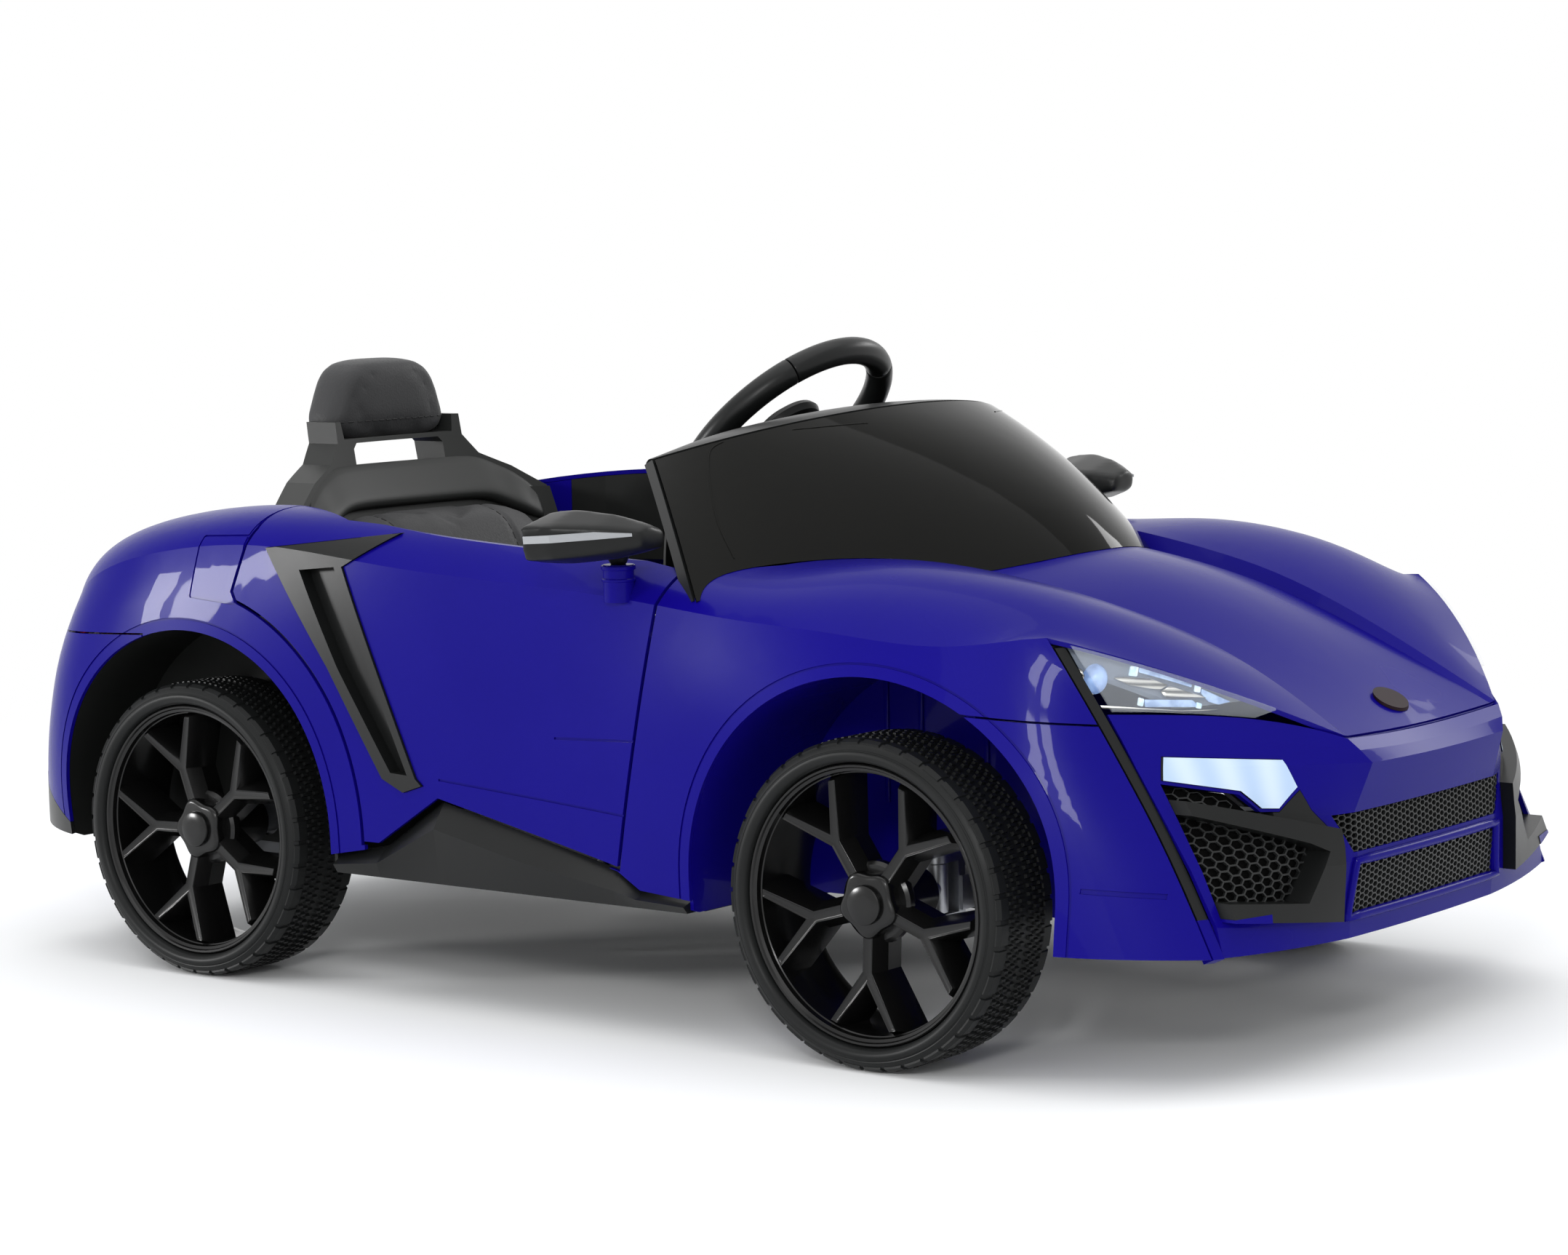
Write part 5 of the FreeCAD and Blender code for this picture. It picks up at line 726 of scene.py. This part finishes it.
# One forked spoke seen from the outside: radius and angle or width of its corners.
STEM = 9.4
FORK_FOOT = 46
NOTCH = 64
SPOKE_END = 93.4
ARM_LOW = 12.4
ARM_HIGH = 22.6
SPOKE_FOOT = -2
SPOKE_SHOULDER = 15
SPOKE_CREST = 11.5
CREST_INSET = 5.6
CREST_RISE = 5.0
CREST_LOW = 20


def ring_point(radius, degrees):
    angle = math.radians(degrees)
    return (radius * math.cos(angle), radius * math.sin(angle))


def spoke(shape):
    """A forked spoke: deep sides, sloping shoulders and a narrow flat crest."""
    half = [(12, STEM), (FORK_FOOT, STEM), ring_point(SPOKE_END, ARM_HIGH), ring_point(SPOKE_END, ARM_LOW)]
    outline = half + [(NOTCH, 0)] + [(u, -v) for u, v in reversed(half)]
    base = shape.faces.new([shape.verts.new((v * MM, SPOKE_FOOT * MM, u * MM)) for u, v in outline])
    top, corners = raised(shape, base, (0, SPOKE_SHOULDER * MM, 0))
    bmesh.ops.recalc_face_normals(shape, faces=shape.faces)
    bmesh.ops.inset_region(
        shape, faces=[top], thickness=CREST_INSET * MM, depth=SPOKE_CREST * MM, use_even_offset=True
    )
    bmesh.ops.inset_region(shape, faces=[top], thickness=1.1 * MM, depth=-0.9 * MM, use_even_offset=True)
    for vert in shape.verts:
        if vert.co.y > (SPOKE_FOOT + SPOKE_SHOULDER + 1) * MM:
            along = math.hypot(vert.co.x, vert.co.z) / MM - FORK_FOOT
            share = min(1, max(0, along / (SPOKE_END - FORK_FOOT)))
            vert.co.y += CREST_RISE * MM * share
    crest = [edge for edge in shape.edges if min(vert.co.y for vert in edge.verts) > CREST_LOW * MM]
    softened(shape, crest, 0.3)


# Hub from the back face over the flat seat of the spokes to the cap's middle, as radius and width.
HUB_PROFILE = [
    (7, -33), (18.5, -33), (19, -32), (19, 4), (27, 6), (29, 10), (28.4, 14), (26, 16), (14.5, 16), (14, 17),
    (13.8, 29.6), (13.4, 30.4), (12.6, 30.8), (6, 31.2), (0, 31.3),
]


def hub_collar(shape):
    """The collar with five rounded lobes round the hub cap."""
    ring = bmesh.ops.create_circle(shape, cap_ends=True, segments=80, radius=22.5 * MM)["verts"]
    for vert in ring:
        lobe = 1 + 0.08 * math.cos(5 * math.atan2(vert.co.x, vert.co.y))
        vert.co *= lobe
    moved(shape, ring, Matrix.Translation((0, 10 * MM, 0)) @ Matrix.Rotation(-math.pi / 2, 4, "X"))
    face = ring[0].link_faces[0]
    top, corners = raised(shape, face, (0, 17 * MM, 0))
    bmesh.ops.recalc_face_normals(shape, faces=shape.faces)
    softened(shape, list(top.edges), 3.6, 4)


def rim_form(row):
    shape = bmesh.new()
    spun(shape, RIM_PROFILE, RIM_STEPS, closed=True)
    tidy(shape)
    single = bmesh.new()
    spoke(single)
    mesh = kept_mesh("spoke_pattern", single)
    for number in range(SPOKES):
        before = set(shape.verts)
        shape.from_mesh(mesh)
        added = [v for v in shape.verts if v not in before]
        turn = math.radians(number * 360 / SPOKES + SPOKE_TURNS[row])
        moved(shape, added, Matrix.Rotation(turn, 4, "Y"))
    collar = bmesh.new()
    hub_collar(collar)
    moved(collar, collar.verts, Matrix.Rotation(math.radians(SPOKE_TURNS[row] + 180 / SPOKES), 4, "Y"))
    spun(shape, HUB_PROFILE, 60)
    tidy(shape)
    return kept_mesh("rim_form", merged([shape, collar]))


def rim(form, row, side, out):
    shape = shape_of(form)
    on_axle(shape, row, out)
    body = f"{row}_wheel_{side}"
    return finished(f"rim_{row}_{side}", shape, RIM_BLACK, body, (f"wheel_{row}_{side}",), 24)


tyre_mesh = tyre_form()
for row in AXLES:
    rim_mesh = rim_form(row)
    for side, out in SIDES:
        tyre(tyre_mesh, row, side, out)
        rim(rim_mesh, row, side, out)


# Grilles: a net of six-sided holes laid on each grille plate.

GRILLES = surface("grille_meshes")
# Column and row pitch, bar width and depth of the net, and the net's corners in front view.
NETS = {
    "centre_net": (5.4, 4.3, 1.0, 2.0, (-126, 100), (126, 180)),
    "intake_net_right": (7.6, 6.4, 1.1, 2.4, (-232, 96), (-118, 208)),
    "intake_net_left": (7.6, 6.4, 1.1, 2.4, (118, 96), (232, 208)),
}


def on_grille(y, z):
    """The place on a grille plate straight behind a point of the front view, or None past its edge."""
    return GRILLES.ray_cast(Vector((1, y, z)), Vector((-1, 0, 0)))[0]


def grille_net(name, column, row, bar, depth, low, high):
    shape = bmesh.new()
    radius = column / 1.5
    squash = row / (math.sqrt(3) * radius)
    across = int((high[0] - low[0]) / column) + 1
    upward = int((high[1] - low[1]) / row) + 1
    for i in range(across):
        for j in range(upward):
            y = low[0] + i * column
            z = low[1] + (j + i % 2 / 2) * row
            place = Matrix.Translation((0, y * MM, z * MM)) @ Matrix.Diagonal((1, 1, squash, 1))
            turn = Matrix.Rotation(math.pi / 2, 4, "Y")
            bmesh.ops.create_circle(shape, cap_ends=True, segments=6, radius=radius * MM, matrix=place @ turn)
    bmesh.ops.remove_doubles(shape, verts=shape.verts, dist=0.05 * MM)
    for vert in shape.verts:
        spot = on_grille(vert.co.y, vert.co.z)
        vert.tag = spot is not None
        vert.co.x = spot.x if spot else 0
    bare = [face for face in shape.faces if not all(vert.tag for vert in face.verts)]
    bmesh.ops.delete(shape, geom=bare, context="FACES")
    holes = list(shape.faces)
    bmesh.ops.inset_individual(shape, faces=holes, thickness=bar / 2 * MM, use_even_offset=True)
    bmesh.ops.delete(shape, geom=holes, context="FACES_ONLY")
    bmesh.ops.recalc_face_normals(shape, faces=shape.faces)
    if sum(face.normal.x for face in shape.faces) < 0:
        bmesh.ops.reverse_faces(shape, faces=shape.faces)
    bmesh.ops.translate(shape, vec=(1.2 * MM, 0, 0), verts=shape.verts)
    bmesh.ops.solidify(shape, geom=shape.faces, thickness=-depth * MM)
    return finished(name, shape, NET_LIT_BLACK, "car_body", (), 40)


for name, (column, row, bar, depth, low, high) in NETS.items():
    grille_net(name, column, row, bar, depth, low, high)


# Headlamps: bulb, ribbed bars, light guides and small lights inside the clear cover.
# Places are measured on the lamp's own plane: along it, up it and out of it.

LAMP_SPOT = Vector((441, -224.3, 270.2)) * MM
LAMP_ALONG = Vector((0.715, 0.673, -0.191)).normalized()
LAMP_OUT = Vector((0.7, -0.71, 0.05)).normalized()
LAMP_UP = LAMP_OUT.cross(LAMP_ALONG).normalized()
LAMP_PLACE = Matrix.Translation(LAMP_SPOT) @ Matrix((LAMP_ALONG, LAMP_UP, LAMP_OUT)).transposed().to_4x4()
BULB_PROFILE = [(0, 9.5), (3.5, 9), (6.2, 7.4), (8, 4.6), (8.8, 1.2), (9, -2)]
# Each: finish, slot, how far it stands out, its thickness and edge, and its outlines along and up the lamp.
LAMP_PARTS = {
    "lamp_fin": (
        SILVER, "bright_reflector", 2.0, 2.2, 0.35,
        ([(10.5, 3), (17, 4.6), (35, 6.6), (47.6, 4.2), (42.6, -0.4), (21, 0)],
         [(48.8, 3.8), (75.5, 0), (47.5, -4.6), (43.6, -1)]),
    ),
    "lamp_edge": (
        SILVER, "bright_reflector", 1.0, 1.6, 0.3, ([(-13.4, 5), (-11.4, 5), (-0.4, -10.4), (-2.6, -10.4)],),
    ),
    "lamp_guides": (
        GUIDE_BLUE, "lamp_white", 1.0, 3.0, 0.8,
        ([(27, 13.4), (64, 7.2), (64, 5.0), (47, 7.2), (27, 9.2)],
         [(34, -8), (66, -3), (72, -7), (35, -13)],
         [(71, 5.4), (92, 0), (84, -3.4), (77, -2.6), (71, 2.2)]),
    ),
    "lamp_leds": (
        LED_WHITE, "lamp_white", 1.6, 3.6, 0.7,
        ([(20.4, 6), (26, 6.4), (26, 13), (20.6, 12.6)], [(66, 2.6), (70, 2.6), (70, 7.6), (66, 7.4)],
         [(29.6, -12.6), (33.4, -12.8), (33.4, -7.6), (29.6, -7.2)],
         [(69, -8), (72.6, -8), (72.6, -4.4), (69, -4)]),
    ),
    "lamp_sill": (
        SILVER, "bright_reflector", 0.6, 2.0, 0.4,
        ([(5, -16.6), (60, -11.2), (84, -6.6), (62, -13), (6.6, -18.8)],),
    ),
}


def lamp_part(name, side, out):
    finish, slot, stand, height, edge, outlines = LAMP_PARTS[name]
    shapes = []
    for outline in outlines:
        shape = block(outline, height, edge)
        shapes.append(placed(shape, LAMP_PLACE @ Matrix.Translation((0, 0, stand * MM)), out))
    return finished(f"{name}_{side}", merged(shapes), finish, "car_body", (), 30)


def lamp_bulb(side, out):
    shape = bmesh.new()
    spun(shape, BULB_PROFILE, 32)
    tidy(shape)
    stand = Matrix.Rotation(math.pi / 2, 4, "X") @ Matrix.Diagonal((0.95, 1, 1.15, 1))
    placed(shape, LAMP_PLACE @ Matrix.Translation((-1 * MM, 0, 0)) @ stand, out)
    return finished(f"lamp_bulb_{side}", shape, BULB_BLUE, "car_body", (), 60)


for side, out in SIDES:
    lamp_bulb(side, out)
    for name in LAMP_PARTS:
        lamp_part(name, side, out)


# Steering wheel: four grips round the ring, a dished hub and three spokes.

WHEEL_SPOT = Vector((10, 0, 414.1)) * MM
COLUMN = Vector((-1, 0, 1)).normalized()
WHEEL_PLACE = Matrix.Translation(WHEEL_SPOT) @ Matrix(
    (Vector((1, 0, 1)).normalized(), Vector((0, 1, 0)), COLUMN)
).transposed().to_4x4()
RING_RADIUS = 90
GRIP_RADIUS = 10.4
# Grips by their angles round the ring from its top.
GRIPS = ((-38, 38), (38.6, 141.4), (142, 218), (218.6, 321.4))
WHEEL_HUB = [(0, -9), (20, -9), (31, -4), (33, 1), (31.5, 4.5), (27, 6.4), (24, 6.4), (23, 5), (0, 5)]
SPOKE_ARM = [(24, 13), (60, 10), (82, 13.5), (82, -13.5), (60, -10), (24, -13)]


def grip(start, stop):
    shape = bmesh.new()
    ring = bmesh.ops.create_circle(
        shape, cap_ends=False, segments=24, radius=GRIP_RADIUS * MM,
        matrix=Matrix.Translation((RING_RADIUS * MM, 0, 0)) @ Matrix.Rotation(math.pi / 2, 4, "X"),
    )["verts"]
    edges = list(shape.edges)
    steps = max(6, int((stop - start) / 4))
    bmesh.ops.spin(
        shape, geom=ring + edges, cent=(0, 0, 0), axis=(0, 0, 1), angle=math.radians(stop - start),
        steps=steps,
    )
    bmesh.ops.holes_fill(shape, edges=[edge for edge in shape.edges if edge.is_boundary], sides=0)
    moved(shape, shape.verts, Matrix.Rotation(math.radians(start), 4, "Z"))
    tidy(shape)
    ends = [edge for edge in shape.edges if any(len(face.verts) > 4 for face in edge.link_faces)]
    softened(shape, ends, 0.7)
    return shape


def steering_wheel():
    shapes = [grip(*angles) for angles in GRIPS]
    hub = bmesh.new()
    spun(hub, WHEEL_HUB, 48)
    tidy(hub)
    moved(hub, hub.verts, Matrix.Rotation(math.pi / 2, 4, "X"))
    shapes.append(hub)
    for turn in (90, 180, 270):
        arm = block(SPOKE_ARM, 8, 2.2)
        round_column = Matrix.Rotation(math.radians(turn), 4, "Z")
        moved(arm, arm.verts, round_column @ Matrix.Translation((0, 0, -6 * MM)))
        shapes.append(arm)
    shape = merged(shapes)
    moved(shape, shape.verts, WHEEL_PLACE)
    bmesh.ops.recalc_face_normals(shape, faces=shape.faces)
    return finished("wheel_rim_and_hub", shape, BLACK, "steering", ("steering_wheel",), 35)


steering_wheel()


# Mirrors: a pale inlay along the outer facet. Doors: rings on the mirror socket.

# Length along the car, distance out, and the low and high edge of the inlay.
INLAY_ROWS = [
    (58, 362.6, 357.4, 362.6), (79, 359.2, 358.6, 364), (103, 338.8, 360.4, 365.6), (122, 318.6, 362, 364),
]
SOCKET_SPOT = (80.9, -288)
SOCKET_RINGS = [(334.2, 12.4, 3.4), (326, 12.0, 2.4)]


def soft_housing(side):
    """The mirror housing with its edges rounded over."""
    name = f"mirror_housing_{side}"
    shape = shape_of(NODES[name].data)
    tidy(shape, 0.02 * MM)
    mesh = remeshed(name, kept_mesh(name, shape), 2.2, 7, 0)
    shape = shape_of(finer(name, mesh))
    return finished(f"mirror_shell_{side}", shape, BLACK, f"mirror_{side}", (name,), 60)


def mirror_inlay(side, out):
    housing = surface(f"mirror_housing_{side}")
    shape = bmesh.new()
    rows = []
    for x, y, low, high in INLAY_ROWS:
        pair = []
        for z in (low, high):
            start = Vector((x, out * 420, z)) * MM
            spot = housing.ray_cast(start, Vector((0, -out, 0)))[0] or Vector((x, out * y, z)) * MM
            pair.append(shape.verts.new(spot))
        rows.append(pair)
    faces = [shape.faces.new((a[0], b[0], b[1], a[1])) for a, b in zip(rows, rows[1:])]
    bmesh.ops.recalc_face_normals(shape, faces=faces)
    if faces[0].normal.y * out < 0:
        bmesh.ops.reverse_faces(shape, faces=faces)
    bmesh.ops.translate(shape, vec=(0, out * 0.6 * MM, 0), verts=shape.verts)
    bmesh.ops.solidify(shape, geom=shape.faces, thickness=-1.2 * MM)
    return finished(f"mirror_inlay_{side}", shape, PALE_GREY, f"mirror_{side}", (), 25)


def socket_rings(side, out):
    shapes = []
    for z, radius, height in SOCKET_RINGS:
        ring = bmesh.new()
        inside, edge = radius - 2.4, radius - 0.6
        profile = [
            (inside, 0), (edge, 0), (radius, 0.6), (radius, height - 0.6), (edge, height), (inside, height),
        ]
        spun(ring, profile, 40, closed=True)
        tidy(ring)
        upright = Matrix.Translation(Vector((*SOCKET_SPOT, z)) * MM) @ Matrix.Rotation(math.pi / 2, 4, "X")
        shapes.append(placed(ring, upright, out))
    return finished(f"socket_rings_{side}", merged(shapes), PAINT, f"door_{side}", (), 30)


for side, out in SIDES:
    soft_housing(side)
    mirror_inlay(side, out)
    socket_rings(side, out)


# Seat: padded pieces swollen by a cloth simulation, then sewn.

VOXEL = 5.0
SWELL_STEPS = 20


def islands(shape):
    """The separate closed forms of a bmesh, each as a set of vertex numbers."""
    shape.verts.index_update()
    left = set(shape.verts)
    groups = []
    while left:
        reached, front = set(), [left.pop()]
        while front:
            vert = front.pop()
            reached.add(vert.index)
            for edge in vert.link_edges:
                other = edge.other_vert(vert)
                if other in left:
                    left.remove(other)
                    front.append(other)
        groups.append(reached)
    return groups


def swollen(name, mesh, limit):
    """A pad blown up like a cover over foam, with no point moved further than the limit."""
    holder = held(name, mesh)
    cloth = holder.modifiers.new("swell", "CLOTH")
    settings = cloth.settings
    settings.quality = 5
    settings.mass = 0.3
    settings.tension_stiffness = 14
    settings.compression_stiffness = 14
    settings.shear_stiffness = 6
    settings.bending_stiffness = 0.6
    settings.use_pressure = True
    settings.uniform_pressure_force = 4
    settings.effector_weights.gravity = 0
    cloth.point_cache.frame_start = 1
    cloth.point_cache.frame_end = SWELL_STEPS
    for step in range(1, SWELL_STEPS + 1):
        bpy.context.scene.frame_set(step)
    blown = applied(holder)
    for before, after in zip(mesh.vertices, blown.vertices):
        step = after.co - before.co
        if step.length > limit * MM:
            after.co = before.co + step.normalized() * limit * MM
    bpy.context.scene.frame_set(1)
    dropped(holder)
    return blown


def sewn(mesh, spot, across, width, depth):
    """Pulls a pad in along a plane, as a seam does."""
    for vert in mesh.vertices:
        away = (vert.co - spot).dot(across) / (width * MM)
        vert.co -= vert.normal * depth * MM * math.exp(-away * away)
    mesh.update()


def cut_line(mesh, spot, across):
    """The points where a plane cuts a mesh, in order round it."""
    shape = shape_of(mesh)
    geometry = list(shape.verts) + list(shape.edges) + list(shape.faces)
    cut = bmesh.ops.bisect_plane(shape, geom=geometry, plane_co=spot, plane_no=across)["geom_cut"]
    edges = [item for item in cut if isinstance(item, bmesh.types.BMEdge)]
    best = []
    while edges:
        first = edges.pop()
        chain = [first.verts[0], first.verts[1]]
        while True:
            onward = [edge for edge in chain[-1].link_edges if edge in edges]
            if not onward:
                break
            edges.remove(onward[0])
            chain.append(onward[0].other_vert(chain[-1]))
        if len(chain) > len(best):
            best = chain
    points = [vert.co + vert.normal * 0.2 * MM for vert in best]
    shape.free()
    return points


def stitches(points, length, gap):
    """Short runs along a line, one for each stitch."""
    runs, run, gone, sewing = [], [points[0]], 0.0, True
    for first, second in zip(points, points[1:]):
        gone += (second - first).length / MM
        if sewing:
            run.append(second)
        if gone >= (length if sewing else gap):
            if sewing:
                runs.append(run)
            run, gone, sewing = [second], 0.0, not sewing
    return runs


# Pads from the lowest up: how far each may swell, how full it is, and its seams as place and direction.
PADS = (
    ("seat_cushion", 7, 0.6, ((Vector((0, -0.062, 0)), SIDEWAYS), (Vector((0, 0.062, 0)), SIDEWAYS))),
    ("back_cushion", 7, 0.6, ((Vector((0, -0.066, 0)), SIDEWAYS), (Vector((0, 0.066, 0)), SIDEWAYS))),
    ("head_cushion", 2.4, 0.75, ((Vector((0, 0, 0.4175)), UPWARD),)),
)


HEAD_LOW = 405
HEAD_HIGH = 470


def fuller_below(mesh):
    """Widens the head pad towards its foot and lets the foot down on the frame."""
    for vert in mesh.vertices:
        share = min(1, max(0, (HEAD_HIGH - vert.co.z / MM) / (HEAD_HIGH - HEAD_LOW)))
        vert.co.y *= 1 + 0.09 * share
        vert.co.z -= 5 * MM * share ** 3


def seat_pads():
    source = shape_of(NODES["seat_pads"].data)
    bmesh.ops.remove_doubles(source, verts=source.verts, dist=0.02 * MM)
    groups = [group for group in islands(source) if len(group) > 40]
    source.verts.ensure_lookup_table()
    groups.sort(key=lambda group: sum(source.verts[i].co.z for i in group) / len(group))
    for (name, limit, fill, seams), group in zip(PADS, groups):
        form = source.copy()
        spare = [vert for vert in form.verts if vert.index not in group]
        bmesh.ops.delete(form, geom=spare, context="VERTS")
        mesh = remeshed(name, kept_mesh(name, form), VOXEL, 1, 1.2)
        mesh = swollen(name, mesh, limit)
        if name == "head_cushion":
            fuller_below(mesh)
        mesh = finer(name, mesh)
        lines = []
        for spot, across in seams:
            if across == SIDEWAYS:
                sewn(mesh, spot, across, 3.2, 2.0)
            line = cut_line(mesh, spot, across)
            middle = sum(point.x for point in line) / len(line)
            front = [point for point in line if point.x > middle]
            lines.append(sorted(front, key=lambda point: point.y) if across == UPWARD else line)
        pad = finished(name, shape_of(mesh), LEATHER, "car_body", ("seat_pads",), 70)
        runs = [run for line in lines for run in stitches(line, 4.6, 2.4)]
        finished(f"{name}_thread", threads(runs, 0.45), THREAD, "car_body", (), 60)
    source.free()


seat_pads()

# Half of the lip across the seat back, as distance from the middle and height.
LIP_TOP = 353
LIP_HALF = [
    (140, 329), (132, 333), (120, 338), (108, 343), (97, 348), (86, 351.5), (70, LIP_TOP), (35, LIP_TOP),
]
# The lip's section, out of the back and up it. It grows to its full size over a stretch from its end.
LIP_SECTION = [
    (-3, 34), (0.4, 30), (3.6, 19), (7.6, 6), (9.2, 0), (9, -3.6), (7, -6.4), (3, -7.4), (-3, -7.4),
]
LIP_END = 150
LIP_GROWTH = 30
BACK_OUT = Vector((0.973, 0, 0.23))
BACK_UP = Vector((-0.23, 0, 0.973))


def seat_lip():
    """The thick lip over the back cushion, raised from the seat shell."""
    shell = surface("seat_shell")
    stations = [(-y, z) for y, z in LIP_HALF] + [(0, LIP_TOP)] + [(y, z) for y, z in reversed(LIP_HALF)]
    shape = bmesh.new()
    rows = []
    for y, z in stations:
        spot = shell.ray_cast(Vector((0.2, y * MM, z * MM)), Vector((-1, 0, 0)))[0]
        full = min(1, (LIP_END - abs(y)) / LIP_GROWTH)
        row = []
        for a, b in LIP_SECTION:
            out = a * full if a > 0 else a
            row.append(shape.verts.new(spot + (BACK_OUT * out + BACK_UP * b * (0.6 + 0.4 * full)) * MM))
        rows.append(row)
    for first, second in zip(rows, rows[1:]):
        for i in range(len(LIP_SECTION) - 1):
            shape.faces.new((first[i], first[i + 1], second[i + 1], second[i]))
        shape.faces.new((first[-1], first[0], second[0], second[-1]))
    shape.faces.new(rows[0])
    shape.faces.new(rows[-1])
    tidy(shape)
    shape = shape_of(finer("seat_lip", kept_mesh("seat_lip", shape)))
    return finished("seat_lip", shape, SEAT_BLACK, "car_body", (), 50)


seat_lip()


# Chin: the raised frame round the lower grille.

CHIN_CORNERS = [(-107, 102.5), (107, 102.5), (100, 141), (-100, 141)]
CHIN_STEPS = 14


def chin_frame():
    """A round bar laid on the front, evened out where it passes from bumper to grille."""
    front = surface("front_bumper", "grille_meshes")
    points = []
    for first, second in zip(CHIN_CORNERS, CHIN_CORNERS[1:] + CHIN_CORNERS[:1]):
        for step in range(CHIN_STEPS):
            y, z = Vector(first).lerp(Vector(second), step / CHIN_STEPS) * MM
            points.append(front.ray_cast(Vector((1, y, z)), Vector((-1, 0, 0)))[0])
    for turn in range(4):
        ring = points[1:] + points[:1]
        before = points[-1:] + points[:-1]
        points = [Vector(((a.x + c.x + 2 * b.x) / 4, b.y, b.z)) for a, b, c in zip(before, points, ring)]
    return finished("chin_frame", threads([points], 3.4, True), PAINT, "car_body", (), 60)


chin_frame()


# Hood: a bead along its front edge. Bumper: blue skins over the low ends of the corner strips.

STRIP_END = 117
STRIP_NEAR = 190
HOOD_FRONT = 530


def hood_bead():
    """A round bead laid along the lowest line that the hood shows from the front."""
    hood = surface("front_body_shell")
    points = []
    for y in range(-108, 109, 6):
        for step in range(40):
            spot = hood.ray_cast(Vector((1, y * MM, (220 + step / 2) * MM)), Vector((-1, 0, 0)))[0]
            if spot and spot.x > HOOD_FRONT * MM:
                points.append(spot)
                break
    return finished("hood_bead", threads([eased(points, 2)], 1.3), PAINT, "car_body", (), 60)


def corner_skins():
    """Skins over the part of the corner strips that lies below the intakes."""
    shape = shape_of(NODES["intake_frames"].data)
    tidy(shape, 0.02 * MM)
    geometry = list(shape.verts) + list(shape.edges) + list(shape.faces)
    bmesh.ops.bisect_plane(
        shape, geom=geometry, plane_co=(0, 0, STRIP_END * MM), plane_no=(0, 0, 1), clear_outer=True
    )
    near = [vert for vert in shape.verts if abs(vert.co.y) < STRIP_NEAR * MM]
    bmesh.ops.delete(shape, geom=near, context="VERTS")
    shape.normal_update()
    for vert in shape.verts:
        vert.co += vert.normal * 0.5 * MM
    return finished("corner_skins", shape, PAINT, "car_body", (), 30)


hood_bead()
corner_skins()


# Front wheel housings: upright ribs on the inner wall.

RIB_STATIONS = (232, 262, 318)
RIB_LOW = 165
RIB_HIGH = 252


def housing_ribs(side, out):
    wall = surface("front_wheel_liners")
    shapes = []
    for x in RIB_STATIONS:
        spot = wall.ray_cast(Vector((x * MM, out * 0.34, 0.2)), Vector((0, -out, 0)))[0]
        rib = block([(-2, RIB_LOW), (2, RIB_LOW), (2, RIB_HIGH), (-2, RIB_HIGH)], 3.2, 0.9)
        stand = Matrix((FORWARD, UPWARD, SIDEWAYS * out)).transposed().to_4x4()
        moved(rib, rib.verts, Matrix.Translation((x * MM, spot.y - out * 1.2 * MM, 0)) @ stand)
        bmesh.ops.recalc_face_normals(rib, faces=rib.faces)
        shapes.append(rib)
    return finished(f"housing_ribs_{side}", merged(shapes), PAINT, "car_body", (), 30)


# Windshield: the raised line that outlines each side window.

WINDOW_LINE = [
    (150, -243, 341), (125, -231, 364), (100, -207, 392), (86, -190, 408), (83, -182, 415), (92, -168, 419),
    (131, -122, 426), (158, -70, 431),
]


def window_line(side, out):
    glass = surface("windshield")
    points = []
    for first, second in zip(WINDOW_LINE, WINDOW_LINE[1:]):
        for share in (0, 0.25, 0.5, 0.75):
            spot = Vector(first).lerp(Vector(second), share) * MM
            spot.y *= -out
            points.append(glass.find_nearest(spot)[0])
    points = [glass.find_nearest(point)[0] for point in eased(points, 3)]
    return finished(f"window_line_{side}", threads([points], 0.6), SMOKED, "car_body", (), 60)


for side, out in SIDES:
    housing_ribs(side, out)
    window_line(side, out)
